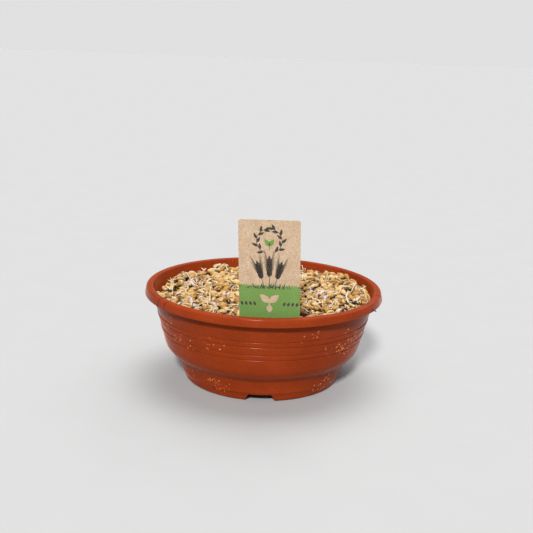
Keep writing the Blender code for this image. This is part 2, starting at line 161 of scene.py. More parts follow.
# The card label, placed by the middle of its width at its soil line. It is drawn in X and Y, facing +Z.
LABEL_PLACE = Vector((5.4 * MM, -82.0 * MM, 70.8 * MM))
LABEL_WIDTH = 46.0 * MM
LABEL_THICKNESS = 0.6 * MM
LABEL_LEAN = math.radians(4.9)
LABEL_YAW = math.radians(-6.0)
LABEL_ROLL = math.radians(-1.6)
PRINT_THICKNESS = 0.03 * MM
GREEN_TOP = 30.1 * MM

CAMERA_TARGET = Vector((1.55 * MM, 0, 94.83 * MM))


def linear(srgb_hex):
    """RGBA in linear light from an sRGB hex string."""
    channels = [int(srgb_hex[i : i + 2], 16) / 255 for i in (1, 3, 5)]
    return [c / 12.92 if c <= 0.04045 else ((c + 0.055) / 1.055) ** 2.4 for c in channels] + [1.0]


def colour_property(name, description, srgb_hex):
    return FloatVectorProperty(
        name=name,
        description=description,
        subtype="COLOR",
        size=4,
        min=0,
        max=1,
        default=linear(srgb_hex),
    )


def length_property(name, description, metres):
    return FloatProperty(
        name=name,
        description=description,
        default=metres,
        min=0,
        precision=4,
        unit="LENGTH",
    )


class BowlSettings(PropertyGroup):
    height: length_property("Height", "From the table to the top of the rim", POT_HIGH.z)
    rim_radius: length_property("Rim radius", "The hanging skirt's lower edge", POT_HIGH.x)
    groove_depth: length_property("Groove depth", "Each of the four grooves round it", 0.45 * MM)
    plastic: colour_property("Plastic", "The moulded terracotta plastic", "#7F2F11")
    plastic_shade: colour_property("Plastic, darker", "The darker of its clouds", "#752A0E")
    droplets: IntProperty(name="Droplets", description="Water left on the outside", default=520, min=0)
    droplet_radius: length_property("Droplet radius", "The largest droplets", 1.05 * MM)


class BedSettings(PropertyGroup):
    seed: IntProperty(name="Seed", description="Draws another heap of grains", default=7)
    grains: IntProperty(name="Grains", description="The most grains that are laid", default=1700, min=1)
    length: length_property("Grain length", "A soaked wheat grain's length", 8.0 * MM)
    width: length_property("Grain width", "Its width", 5.0 * MM)
    height: length_property("Grain height", "Its height over the crease", 4.6 * MM)
    peat: colour_property("Peat", "Moist dark peat", "#1F0F08")
    bran: colour_property("Bran", "The darkest soaked bran", "#7A5124")
    honey: colour_property("Honey", "The usual soaked bran", "#9D7532")
    cream: colour_property("Cream", "The palest, most swollen grains", "#BA9C69")
    root: colour_property("Root", "The young rootlets", "#B6AB99")
    shoot: colour_property("Shoot", "The tips of the shoots", "#AFA273")
    root_hair: colour_property("Root hairs", "The down on the rootlets", "#A7998F")


class LabelSettings(PropertyGroup):
    kraft: colour_property("Kraft", "The bare card", "#AF977E")
    green: colour_property("Green", "The printed field", "#5A7C38")
    ink: colour_property("Ink", "The printed drawing", "#2A241F")


class StudioSettings(PropertyGroup):
    floor: colour_property("Floor", "The pale floor", "#A1A1A1")
    distance: length_property("Distance", "From the camera to its target", 723.4 * MM)
    elevation: FloatProperty(
        name="Elevation",
        description="The camera's height above the horizon",
        default=math.radians(14.05),
        subtype="ANGLE",
    )
    roll: FloatProperty(
        name="Roll",
        description="How far the camera is turned about its line of sight",
        default=math.radians(2.11),
        subtype="ANGLE",
    )
    lens: FloatProperty(name="Lens", description="Focal length in mm on a 36 mm sensor", default=57.8)


# Tools for nodes and meshes


def add_node(tree, kind, inputs, output=None, **settings):
    """Adds a node with its settings, values and links, and returns one of its outputs."""
    node = tree.nodes.new("ShaderNode" + kind)
    for name, value in settings.items():
        setattr(node, name, value)
    for name, value in inputs.items():
        socket = next(each for each in node.inputs if each.enabled and each.name == name)
        if isinstance(value, bpy.types.NodeSocket):
            tree.links.new(value, socket)
        else:
            socket.default_value = linear(value) if isinstance(value, str) else value
    return next(each for each in node.outputs if each.enabled and output in (None, each.name))


def new_material(name, **constants):
    """A material, its node tree and its shader, with the shader's constant sockets set."""
    material = bpy.data.materials.new(name)
    material.use_nodes = True
    tree = material.node_tree
    shader = tree.nodes["Principled BSDF"]
    for socket, value in constants.items():
        shader.inputs[socket.replace("_", " ")].default_value = value
    return material, tree, shader


def tinted(tree, colour, *layers):
    """A colour with tints over it: each one's pattern, where it starts and is full, its share and colour."""
    for pattern, start, full, most, tint in layers:
        share = {"Value": pattern, "From Min": start, "From Max": full, "To Max": most}
        mix = {"Factor": add_node(tree, "MapRange", share), "A": colour, "B": tint}
        colour = add_node(tree, "Mix", mix, data_type="RGBA")
    return colour


def dress(tree, shader, colour, pattern=None, depth=0):
    """Gives a shader its colour and, where there is a pattern for it, its relief."""
    tree.links.new(colour, shader.inputs["Base Color"])
    if pattern is not None:
        normal = add_node(tree, "Bump", {"Height": pattern, "Distance": depth})
        tree.links.new(normal, shader.inputs["Normal"])


def mesh_from_arrays(name, points, *face_sets):
    """A smooth mesh from an array of points and arrays of faces, one array for each number of corners."""
    mesh = bpy.data.meshes.new(name)
    mesh.vertices.add(len(points))
    mesh.vertices.foreach_set("co", np.asarray(points, np.float32).ravel())
    corners = np.concatenate([faces.ravel() for faces in face_sets]).astype(np.int32)
    sizes = np.concatenate([np.full(len(faces), faces.shape[1]) for faces in face_sets])
    starts = np.concatenate(([0], np.cumsum(sizes)[:-1])).astype(np.int32)
    mesh.loops.add(len(corners))
    mesh.loops.foreach_set("vertex_index", corners)
    mesh.polygons.add(len(sizes))
    mesh.polygons.foreach_set("loop_start", starts)
    mesh.polygons.foreach_set("use_smooth", np.ones(len(sizes), bool))
    mesh.update(calc_edges=True)
    return mesh


def mesh_from_bm(name, bm):
    mesh = bpy.data.meshes.new(name)
    bm.to_mesh(mesh)
    bm.free()
    return mesh


def ring_quads(rings, sides):
    """The faces between neighbouring rings of points, each ring closed in itself."""
    first = np.arange(rings - 1)[:, None] * sides
    here = np.arange(sides)[None]
    beside = (here + 1) % sides
    corners = (first + here, first + beside, first + sides + beside, first + sides + here)
    return np.stack(corners, axis=-1).reshape(-1, 4)


def repeated(faces, count, corners):
    """The faces of many like shapes, from those of one that has so many corners."""
    return (faces[None] + np.arange(count)[:, None, None] * corners).reshape(-1, faces.shape[-1])


def set_attribute(mesh, name, values):
    layer = mesh.attributes.new(name, "FLOAT", "POINT")
    layer.data.foreach_set("value", np.asarray(values, np.float32).ravel())


def unit(vectors):
    """The same vectors at a length of one."""
    return vectors / (np.linalg.norm(vectors, axis=-1, keepdims=True) + 1e-12)


def helper_object(name, data):
    made = bpy.data.objects.new(name, data)
    bpy.context.scene.collection.objects.link(made)
    return made


def place_piece(name, mesh, material, stands_for=(), matrix=None):
    """A new piece of the object, riding on its only body."""
    piece = helper_object(name, mesh)
    piece.data.materials.clear()
    piece.data.materials.append(material)
    if matrix is not None:
        piece.matrix_world = matrix
    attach(piece, "root")
    if stands_for:
        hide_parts(*stands_for)
    return piece


def evaluated_mesh(owner):
    bpy.context.view_layer.update()
    graph = bpy.context.evaluated_depsgraph_get()
    return bpy.data.meshes.new_from_object(owner.evaluated_get(graph))


def on_circle(azimuth, radius):
    angle = math.radians(azimuth)
    return radius * math.cos(angle), radius * math.sin(angle)


# The bowl


def arc(centre, radius, start, end, count):
    """Points on an arc in a plane, from start to end in degrees."""
    angles = (math.radians(start + (end - start) * i / (count - 1)) for i in range(count))
    return [(centre[0] + radius * math.cos(a), centre[1] + radius * math.sin(a)) for a in angles]


def upper_wall_slope():
    return (UNDER_RIM_RADIUS - SHOULDER_RADIUS) / (UNDER_RIM_HEIGHT - SHOULDER_HEIGHT)


def upper_wall_radius(height):
    """The plain upper wall's outer radius at a height, without its grooves."""
    return SHOULDER_RADIUS + (height - SHOULDER_HEIGHT) * upper_wall_slope()


def mouth_wall_radius(height):
    """The upper wall's inner radius at a height."""
    return upper_wall_radius(height) - WALL * math.hypot(1, upper_wall_slope())


def ogee(count):
    """The S-curve from the shoulder down to the waist, both ends included."""
    top = Vector((SHOULDER_RADIUS, SHOULDER_HEIGHT))
    low = Vector((WAIST_RADIUS, WAIST_HEIGHT))
    pull = (top - low).length * OGEE_PULL
    top_handle = top - Vector((upper_wall_slope(), 1)).normalized() * pull
    low_handle = low + Vector((WAIST_SLOPE, 1)).normalized() * pull
    points = []
    for i in range(count):
        t = i / (count - 1)
        point = (
            top * (1 - t) ** 3
            + top_handle * (3 * (1 - t) ** 2 * t)
            + low_handle * (3 * (1 - t) * t**2)
            + low * t**3
        )
        points.append(tuple(point))
    return points


def groove_pair(upper, lower, depth):
    """Two soft grooves and the swollen band between them, from the top down."""
    half = GROOVE_HALF_WIDTH
    points = []
    for side, proud in ((2, 0), (1, -0.1), (0.4, -0.8), (0, -1), (-0.4, -0.8), (-1, 0.1)):
        points.append((upper + side * half, proud * depth))
    for t in (0.15, 0.3, 0.5, 0.7, 0.85):
        swell = BAND_SWELL * math.sin(math.pi * (0.25 + t / 2))
        points.append((upper + (lower - upper) * t, swell))
    for side, proud in ((1, 0.1), (0.4, -0.8), (0, -1), (-0.4, -0.8), (-1, -0.1), (-2, 0)):
        points.append((lower + side * half, proud * depth))
    return [(upper_wall_radius(at) + proud, at) for at, proud in points]


def rim_section(height, radius):
    """The rim's visible skin from its mouth, over its rounded edge and down to the skirt's lip."""
    outer = radius - RIM_TOP_INSET
    mouth = (MOUTH_RADIUS + MOUTH_ROUND, height - MOUTH_ROUND)
    return (
        arc(mouth, MOUTH_ROUND, 180, 90, 6)
        + arc((outer - RIM_ROUND, height - RIM_ROUND), RIM_ROUND, 90, 4, 9)
        + arc((radius - SKIRT_LIP, height - SKIRT_HEIGHT + SKIRT_LIP), SKIRT_LIP, 0, -90, 4)
    )


def outside_wall(height, groove_depth):
    """The outside from where it leaves the rim's underside down to the foot ring."""
    under = height - WALL
    points = [(upper_wall_radius(under), under)]
    for upper, lower in GROOVE_HEIGHTS:
        points += groove_pair(upper, lower, groove_depth)
    points += ogee(22)
    slope = (WAIST_RADIUS - FOOT_RADIUS) / (WAIST_HEIGHT - FOOT_ROUND)
    for below in (WAIST_EASE, 3 * WAIST_EASE):
        points.append((WAIST_RADIUS - slope * below, WAIST_HEIGHT - below))
    for side, proud in ((2, 0), (1, 0.5), (0, 1), (-1, 0.5), (-2, 0)):
        at = FOOT_LINE_HEIGHT + side * FOOT_LINE_PROUD
        points.append((FOOT_RADIUS + slope * (at - FOOT_ROUND) + proud * FOOT_LINE_PROUD, at))
    points += arc((FOOT_RADIUS - FOOT_ROUND, FOOT_ROUND), FOOT_ROUND, 0, -90, 9)
    return points


def bowl_profile(settings):
    """The bowl's whole section, from the axis inside, over the rim and down the outside to the axis."""
    floor = FLOOR_HEIGHT + FLOOR_THICKNESS
    inside = [(0, floor), (FOOT_RADIUS - 2 * WALL, floor)]
    inside += [(x - WALL, y) for x, y in reversed(ogee(8))]
    inside += [(mouth_wall_radius(y), y) for y in (45 * MM, 60 * MM, 70 * MM)]
    skirt_low = settings.height - SKIRT_HEIGHT
    under = [
        (settings.rim_radius - WALL, skirt_low),
        (settings.rim_radius - RIM_TOP_INSET - WALL, settings.height - WALL),
    ]
    below = [(RING_INNER_RADIUS, 0), (FLOOR_RADIUS, FLOOR_HEIGHT), (0, FLOOR_HEIGHT)]
    return (
        inside
        + rim_section(settings.height, settings.rim_radius)
        + under
        + outside_wall(settings.height, settings.groove_depth)
        + below
    )


def turned(name, profile, steps):
    """A helper object turned about Z, from a profile that runs down its outer side."""
    mesh = bpy.data.meshes.new(name)
    edges = [(i, i + 1) for i in range(len(profile) - 1)]
    mesh.from_pydata([(radius, 0, height) for radius, height in profile], edges, [])
    made = helper_object(name, mesh)
    screw = made.modifiers.new("Turn", "SCREW")
    screw.axis = "Z"
    screw.steps = steps
    screw.render_steps = steps
    screw.use_merge_vertices = True
    screw.merge_threshold = 0.01 * MM
    screw.use_smooth_shade = True
    return made


def notch_cutter(bm, azimuth):
    """Adds a radial bar with slanted sides, which cuts a notch through the foot ring."""
    turn = Matrix.Rotation(math.radians(azimuth), 4, "Z")
    for vertex in bmesh.ops.create_cube(bm, size=1)["verts"]:
        reach = NOTCH_REACH[vertex.co.x > 0]
        height = NOTCH_HEIGHT if vertex.co.z > 0 else -NOTCH_HEIGHT
        flare = (NOTCH_WIDTH_BELOW - NOTCH_WIDTH_ABOVE) / 2 / NOTCH_HEIGHT
        half_width = NOTCH_WIDTH_BELOW / 2 - flare * height
        vertex.co = turn @ Vector((reach, math.copysign(half_width, vertex.co.y), height))


def drain_cutter(bm, index):
    """Adds a pin, which cuts a drain hole through the floor."""
    x, y = on_circle(360 * index / DRAIN_HOLES, DRAIN_CIRCLE)
    centre = Matrix.Translation((x, y, FLOOR_HEIGHT + FLOOR_THICKNESS / 2))
    bmesh.ops.create_cone(
        bm,
        cap_ends=True,
        segments=32,
        radius1=DRAIN_RADIUS,
        radius2=DRAIN_RADIUS,
        depth=3 * FLOOR_THICKNESS,
        matrix=centre,
    )


def rim_line_path(settings, at_mouth, at_skirt, inside):
    """Where a scored line runs: down the inside if it has a part there, and over the rim."""
    section = rim_section(settings.height, settings.rim_radius)
    if inside:
        heights = (settings.height - inside, settings.height - 3 * MM)
        section = [(mouth_wall_radius(height), height) for height in heights] + section[:12]
    core = Vector(((MOUTH_RADIUS + settings.rim_radius) / 2, settings.height - SKIRT_HEIGHT))
    path = []
    for index, (radius, height) in enumerate(section):
        azimuth = at_mouth + (at_skirt - at_mouth) * index / (len(section) - 1)
        inward = core - Vector((radius, height))
        radius, height = Vector((radius, height)) + inward.normalized() * RIM_LINE_SINK
        path.append((*on_circle(azimuth, radius), height))
    return path


def rim_lines(settings, radius):
    """Bent wires of that radius, laid along the scored lines."""
    bm = bmesh.new()
    for line in RIM_LINES:
        path = np.array([rim_line_path(settings, *line)])
        bm.from_mesh(mesh_from_arrays("rim_line", *tubes(path, np.full(path.shape[:2], radius), 6)))
    return bm


def cut_with(target, name, bm):
    bmesh.ops.recalc_face_normals(bm, faces=bm.faces)
    cutter = helper_object(name, mesh_from_bm(name, bm))
    cut = target.modifiers.new(name, "BOOLEAN")
    cut.operation = "DIFFERENCE"
    cut.solver = "MANIFOLD"
    cut.object = cutter
    return cutter


def bowl_mesh(settings):
    bowl = turned("bowl_blank", bowl_profile(settings), BOWL_STEPS)
    below = bmesh.new()
    for azimuth in NOTCH_AZIMUTHS:
        notch_cutter(below, azimuth)
    for index in range(DRAIN_HOLES):
        drain_cutter(below, index)
    lines = rim_lines(settings, RIM_LINE_RADIUS)
    cutters = [cut_with(bowl, "foot_cuts", below), cut_with(bowl, "rim_lines", lines)]
    mesh = evaluated_mesh(bowl)
    for spare in [bowl] + cutters:
        bpy.data.objects.remove(spare)
    mesh.shade_smooth()
    mesh.set_sharp_from_angle(angle=math.radians(38))
    return mesh


def terracotta_plastic(settings):
    """Polypropylene, injection moulded in a satin mould."""
    material, tree, shader = new_material(
        "polypropylene_injection_moulded",
        IOR=1.49,
        Specular_IOR_Level=0.05,
        Sheen_Weight=0.12,
        Sheen_Roughness=0.35,
        Sheen_Tint=linear("#FF7A34"),
    )
    place = add_node(tree, "TexCoord", {}, "Object")
    # It is an even brick red with faint clouds, as the pigment is never mixed quite evenly. Real pigment
    # specks are about 0.1 mm. They are drawn at 0.9 mm, so that they show.
    clouds = add_node(tree, "TexNoise", {"Vector": place, "Scale": 1 / (26 * MM), "Detail": 3})
    specks = add_node(tree, "TexNoise", {"Vector": place, "Scale": 1 / (0.9 * MM), "Detail": 1})
    colour = tinted(
        tree,
        settings.plastic_shade,
        (clouds, 0.35, 0.65, 1, settings.plastic),
        (specks, 0.62, 0.72, 0.35, "#4E1705"),
        (specks, 0.36, 0.28, 0.25, "#A84A20"),
    )
    # The satin finish gives a soft wide gloss, duller where it is dusty, and a warm sheen at its edges.
    dust = add_node(tree, "TexNoise", {"Vector": place, "Scale": 1 / (9 * MM), "Detail": 3})
    gloss = {"Value": dust, "From Min": 0.3, "From Max": 0.7, "To Min": 0.16, "To Max": 0.27}
    tree.links.new(add_node(tree, "MapRange", gloss), shader.inputs["Roughness"])
    # The mould's spark-eroded grain is about 0.1 mm, drawn at 0.7 mm.
    grain = add_node(tree, "TexNoise", {"Vector": place, "Scale": 1 / (0.7 * MM), "Detail": 2})
    dress(tree, shader, colour, grain, 0.02 * MM)
    return material


# Tubes, for roots, shoots, fibres and scored lines


def tubes(paths, radii, sides):
    """Points and faces of a tube along each path. paths is (tubes, stations, 3), radii (tubes, stations)."""
    count, stations, _ = paths.shape
    tangents = unit(np.gradient(paths, axis=1))
    side = np.cross(tangents[:, 0], (0.3, 0.5, 0.8))
    across = np.empty_like(paths)
    for station in range(stations):
        tangent = tangents[:, station]
        side = unit(side - tangent * (side * tangent).sum(axis=1, keepdims=True))
        across[:, station] = side
    upward = np.cross(tangents, across)
    angles = (math.tau * np.arange(sides) / sides)[:, None]
    ring = across[:, :, None] * np.cos(angles) + upward[:, :, None] * np.sin(angles)
    points = paths[:, :, None] + ring * radii[:, :, None, None]
    cap = np.arange(sides)[None]
    face_sets = (ring_quads(stations, sides), cap[:, ::-1], cap + (stations - 1) * sides)
    return points.reshape(-1, 3), *(repeated(faces, count, stations * sides) for faces in face_sets)


# The heap of grains


def bed_height(x, y):
    """The level of the grains' tops at places on the bed."""
    across = (x * x + y * y) / MOUTH_RADIUS**2
    level = BED_LEVEL + BED_TILT * x / MOUTH_RADIUS + BED_DOME * (1 - across)
    for azimuth, radius, height, spread_out in BED_HEAPS:
        heap_x, heap_y = on_circle(azimuth, radius)
        distance = np.hypot(x - heap_x, y - heap_y)
        level = level + height * np.exp(-((distance / spread_out) ** 2))
    return level


def spot_share(x, y):
    """1 where lumps of peat show, falling to 0 around them."""
    share = np.zeros_like(x)
    for spot_x, spot_y, reach in PEAT_SPOTS:
        distance = np.hypot(x - spot_x * MM, y - spot_y * MM)
        share = np.maximum(share, np.exp(-((distance / (reach * MM)) ** 4)))
    return share


def peat_height(x, y):
    """The peat's surface below the grains."""
    return bed_height(x, y) - PEAT_BELOW


def turn_matrices(heading, pitch, roll):
    """A grain's turn: rolled about its length, pitched up at its germ end and headed."""
    ch, sh, cp, sp, cr, sr = (f(a) for a in (heading, pitch, roll) for f in (math.cos, math.sin))
    head = np.array(((ch, -sh, 0), (sh, ch, 0), (0, 0, 1)))
    lift = np.array(((cp, 0, -sp), (0, 1, 0), (sp, 0, cp)))
    spin = np.array(((1, 0, 0), (0, cr, -sr), (0, sr, cr)))
    return head @ lift @ spin


class Heap:
    """Grains laid one by one, each into the lowest place of several, on a grid of the heap's height."""

    def __init__(self, settings):
        self.draw = np.random.default_rng(settings.seed)
        self.mean_size = np.array((settings.length, settings.width, settings.height))
        self.cells = int(2 * GRID_REACH / CELL) + 1
        axis = (np.arange(self.cells) - self.cells // 2) * CELL
        self.x, self.y = np.meshgrid(axis, axis, indexing="ij")
        self.level = peat_height(self.x, self.y)
        self.wanted = bed_height(self.x, self.y) - spot_share(self.x, self.y) * SPOT_DEPTH
        self.centres, self.turns, self.sizes, self.lifts = [], [], [], []
        missed = 0
        while len(self.centres) < settings.grains and missed < MISSES_ALLOWED:
            missed = 0 if self.lay_one(max(1, SPOTS_LOOKED_AT - missed)) else missed + 1
        self.centres = np.array(self.centres)
        self.turns = np.array(self.turns)
        self.sizes = np.array(self.sizes)

    def cell_of(self, value):
        return np.clip(np.rint(value / CELL).astype(int) + self.cells // 2, 0, self.cells - 1)

    def level_at(self, x, y):
        return self.level[self.cell_of(x), self.cell_of(y)]

    def lowest_place(self, spots):
        """Of several random places, the one with the most room up to the wanted level."""
        reach = mouth_wall_radius(BED_LEVEL - 3 * MM) - 1.6 * MM
        radius = reach * np.sqrt(self.draw.random(spots))
        angle = math.tau * self.draw.random(spots)
        x, y = radius * np.cos(angle), radius * np.sin(angle)
        room = 0
        for dx, dy in ((0, 0), (1.2, 0), (-1.2, 0), (0, 1.2), (0, -1.2)):
            column, row = self.cell_of(x + dx * MM), self.cell_of(y + dy * MM)
            room = room + self.wanted[column, row] - self.level[column, row]
        best = int(np.argmax(room))
        return x[best], y[best]

    def lay_one(self, spots):
        """Tries a grain in a few positions at one place and keeps the one in which it lies lowest."""
        x, y = self.lowest_place(spots)
        size = self.mean_size * self.draw.normal(1, (0.08, 0.08, 0.09)).clip(0.78, 1.2)
        tries = [self.resting(x, y, self.turn_at(x, y, size), size) for _ in range(TURNS_TRIED)]
        top, centre, turn, window, raised = min(tries, key=lambda found: found[0])
        if top > self.draw.uniform(-0.3, 0.9) * MM:
            return False
        self.level[window] = np.maximum(self.level[window], raised)
        self.centres.append(centre)
        self.turns.append(turn)
        self.sizes.append(size)
        self.lifts.append((window, raised))
        return True

    def turn_at(self, x, y, size):
        """A random turn that leans with the heap's slope at a place, and along the wall beside it."""
        heading = self.draw.uniform(0, math.tau)
        if math.hypot(x, y) > WALL_ZONE:
            heading = math.atan2(y, x) + math.pi / 2 + self.draw.normal(0, 0.5)
        along = np.array((math.cos(heading), math.sin(heading)))
        across = np.array((-along[1], along[0]))
        slopes = []
        for axis, reach in ((along, size[0] * 0.35), (across, size[1] * 0.35)):
            rise = self.level_at(x + axis[0] * reach, y + axis[1] * reach)
            rise = rise - self.level_at(x - axis[0] * reach, y - axis[1] * reach)
            slopes.append(math.atan(np.clip(rise / (2 * reach), -0.55, 0.55)))
        pitch = slopes[0] + self.draw.normal(0, 0.18)
        roll = slopes[1] + self.draw.uniform(0, math.tau)
        return turn_matrices(heading, pitch, roll)

    def pushed_clear(self, x, y, turn, size):
        """The place, moved off the bowl's wall and off the label."""
        half_axes = turn * (size / 2)
        spread_out = half_axes @ half_axes.T
        place = np.array((x, y))
        for _ in range(2):
            place = off_the_label(place, spread_out)
            radius = np.hypot(*place)
            outward = np.array((*(place / radius), 0))
            wall = mouth_wall_radius(self.level_at(*place) + 0.5 * MM) - 0.3 * MM
            reach = math.sqrt(outward @ spread_out @ outward)
            if radius + reach > wall:
                place = place * (wall - reach) / radius
        return place

    def resting(self, x, y, turn, size):
        """Drops a grain on what lies there. Its top is told as its height over the wanted level."""
        x, y = self.pushed_clear(x, y, turn, size)
        column, row = int(self.cell_of(x)), int(self.cell_of(y))
        reach = int(0.6 * size[0] / CELL) + 1
        window = (slice(column - reach, column + reach + 1), slice(row - reach, row + reach + 1))
        dx, dy = self.x[window] - x, self.y[window] - y
        form = turn @ np.diag(4 / size**2) @ turn.T
        slant = form[2, 0] * dx + form[2, 1] * dy
        rest = form[0, 0] * dx**2 + 2 * form[0, 1] * dx * dy + form[1, 1] * dy**2 - 1
        depth = slant**2 - form[2, 2] * rest
        inside = depth > 0
        root = np.sqrt(np.where(inside, depth, 0))
        below, above = (-slant - root) / form[2, 2], (-slant + root) / form[2, 2]
        height = (self.level[window] - below)[inside].max() - SINK
        top = height + above[inside].max() - self.wanted[column, row]
        raised = np.where(inside, height + above, -1)
        return top, (x, y, height), turn, window, raised

    def shown(self):
        """How much of each grain's upper side the finished heap leaves bare."""
        shares = []
        for window, raised in self.lifts:
            own = raised > 0
            bare = own & (raised > self.level[window] - 0.3 * MM)
            shares.append(bare.sum() / own.sum())
        return np.array(shares)

    def cover(self, bridged):
        """The heap's height as strands lie on it: over its narrow gaps when bridged, or down in them."""
        level = self.level
        for _ in range(bridged):
            level = np.max(beside_each(level), axis=0)
        for _ in range(2):
            level = np.mean(beside_each(level), axis=0)
        return level


def beside_each(level):
    """A grid and its eight copies moved by one cell."""
    return [np.roll(np.roll(level, i, 0), j, 1) for i in (-1, 0, 1) for j in (-1, 0, 1)]


def off_the_label(place, spread_out):
    """A place moved square to the card until a thing of that spread clears it."""
    along = np.array((math.cos(LABEL_YAW), math.sin(LABEL_YAW), 0))
    square = np.array((-along[1], along[0], 0))
    offset = np.array((*place, 0)) - np.array((LABEL_PLACE.x, LABEL_PLACE.y, 0))
    beside = abs(offset @ along) - LABEL_WIDTH / 2 - math.sqrt(along @ spread_out @ along)
    gap = LABEL_THICKNESS / 2 + 0.4 * MM + math.sqrt(square @ spread_out @ square)
    distance = offset @ square
    if beside > 0 or abs(distance) > gap:
        return place
    return place + square[:2] * (math.copysign(gap, distance) - distance)


@functools.lru_cache(maxsize=1)
def laid_heap():
    """The heap, laid once for all the operators that need it."""
    return Heap(bpy.context.scene.cat_grass_bed)


def grain_form(angles, rings):
    """A wheat grain of unit length, width and height, with its germ at +X and its crease below.

    Returns its points, their weights in the crease and at the germ, and its faces.
    """
    angles = np.radians(angles)
    along = -np.cos(np.linspace(0, math.pi, rings + 2))[1:-1]
    girth = (1 - np.abs(along) ** 2.2) ** 0.66 * (1 + 0.09 * along)
    s, a = np.meshgrid(along, angles, indexing="ij")
    g = girth[:, None]
    from_crease = np.degrees(np.abs(a + math.pi / 2))
    from_crease = np.minimum(from_crease, 360 - from_crease)
    crease = np.exp(-((from_crease / 19) ** 2)) * (1 - s**4)
    germ = np.exp(-(((s - 0.78) / 0.2) ** 2) - ((180 - from_crease) / 55) ** 2)
    cheeks = 1 + 0.06 * np.exp(-(((from_crease - 45) / 25) ** 2))
    points = np.stack((s / 2, np.cos(a) * g / 2 * cheeks, np.sin(a) * g / 2), axis=-1)
    points[..., 2] += 0.3 * crease * g + 0.07 * germ
    points = np.concatenate((points.reshape(-1, 3), ((-0.5, 0, 0), (0.5, 0, 0.05))))
    sides = len(angles)
    here = np.arange(sides)
    beside = (here + 1) % sides
    last = (rings - 1) * sides
    brush, tip = np.full(sides, rings * sides), np.full(sides, rings * sides + 1)
    ends = [np.stack(end, axis=-1) for end in ((brush, beside, here), (tip, last + here, last + beside))]
    weights = [np.concatenate((weight.ravel(), (0, end))) for weight, end in ((crease, 0), (germ, 0.8))]
    return points, weights, ring_quads(rings, sides), np.concatenate(ends)


FINE_ANGLES = (-90, -78, -62, -35, -5, 30, 60, 90, 120, 150, 185, 215, 242, 258)
COARSE_ANGLES = (-90, -45, 0, 45, 90, 135, 180, 225)


def grains_mesh(name, heap, chosen, form, draw):
    """The chosen grains of the heap in one mesh, each a little bent and with a tone of its own."""
    points, (crease, germ), quads, ends = form
    count, corners = len(chosen), len(points)
    bend = draw.normal(0, 0.13, (count, 1))
    local = np.repeat(points[None], count, axis=0)
    local[..., 2] += bend * (4 * local[..., 0] ** 2 - 0.5)
    local *= heap.sizes[chosen][:, None]
    placed = local @ heap.turns[chosen].transpose(0, 2, 1) + heap.centres[chosen][:, None]
    face_sets = [repeated(faces, count, corners) for faces in (quads, ends)]
    mesh = mesh_from_arrays(name, placed.reshape(-1, 3), *face_sets)
    # How far each point lies below the heap's top; the wheat material darkens deep points as painted shade
    depth = bed_height(placed[..., 0], placed[..., 1]) - placed[..., 2]
    set_attribute(mesh, "tone", np.repeat(draw.beta(1.5, 1.4, count), corners))
    set_attribute(mesh, "depth", depth / (7 * MM))
    set_attribute(mesh, "crease", np.tile(crease, count))
    set_attribute(mesh, "germ", np.tile(germ, count))
    return mesh


def soaked_wheat(settings):
    """Wheat bran, soaked until it swells."""
    material, tree, shader = new_material(
        "wheat_bran_soaked",
        Roughness=0.5,
        IOR=1.45,
        Specular_IOR_Level=0.3,
        Subsurface_Weight=0.08,
        Subsurface_Scale=1.2 * MM,
        Coat_Weight=0.05,
        Coat_Roughness=0.3,
    )
    place = add_node(tree, "TexCoord", {}, "Object")
    names = ("tone", "crease", "germ", "depth")
    shares = [add_node(tree, "Attribute", {}, "Fac", attribute_name=name) for name in names]
    tone, crease, germ, depth = shares
    # Bran cells are about 0.1 mm. Their mottling is drawn at 1.3 mm, so that it shows.
    mottle = add_node(tree, "TexNoise", {"Vector": place, "Scale": 1 / (1.3 * MM), "Detail": 2})
    patches = add_node(tree, "TexNoise", {"Vector": place, "Scale": 1 / (4 * MM), "Detail": 2})
    # Each grain has a tone of its own between tan and cream. Where the bran lifts it is pinkish cream. The
    # crease is darkened brown as painted shade, the burst germ is paler, and what lies deep in the heap is
    # darkened to dark brown as painted shade.
    colour = tinted(
        tree,
        settings.bran,
        (tone, 0, 0.45, 1, settings.honey),
        (tone, 0.45, 1, 1, settings.cream),
        (mottle, 0.45, 0.7, 0.35, "#8C6029"),
        (patches, 0.53, 0.68, 0.45, "#B99B7D"),
        (crease, 0.15, 0.9, 0.85, "#5C3813"),
        (germ, 0.35, 0.85, 0.6, "#C9B68C"),
        (depth, 0.25, 0.9, 0.9, "#3C220D"),
    )
    # The skin is waxy and moist, and finely wrinkled.
    wrinkles = add_node(tree, "TexNoise", {"Vector": place, "Scale": 1 / (0.9 * MM), "Detail": 2})
    dress(tree, shader, colour, wrinkles, 0.05 * MM)
    return material


# Roots and shoots


def crawled(starts, headings, climbs, lengths, wander, fall, stations, heap, cover, draw):
    """Paths that leave the germs, arch over the grains under their own weight and lie along them."""
    count = len(starts)
    paths = np.empty((count, stations, 3))
    paths[:, 0] = starts
    place = starts.copy()
    heading = headings.copy()
    climb = climbs.copy()
    stride = lengths / (stations - 1)
    curl = draw.normal(0, wander * 0.5, count)
    for station in range(1, stations):
        heading += curl + draw.normal(0, wander, count)
        step = stride * np.cos(climb)
        place[:, 0] += step * np.cos(heading)
        place[:, 1] += step * np.sin(heading)
        radius = np.hypot(place[:, 0], place[:, 1])
        limit = mouth_wall_radius(place[:, 2]) - 0.6 * MM
        place[:, :2] *= np.minimum(1, limit / radius)[:, None]
        free = place[:, 2] + stride * np.sin(climb)
        ground = cover[heap.cell_of(place[:, 0]), heap.cell_of(place[:, 1])] + 0.1 * MM
        landed = free < ground
        place[:, 2] = np.where(landed, ground, free)
        climb = np.where(landed, np.minimum(climb, 0.3), climb - fall)
        paths[:, station] = place
    for _ in range(2):
        paths[:, 1:-1] = (paths[:, :-2] + 2 * paths[:, 1:-1] + paths[:, 2:]) / 4
    return paths


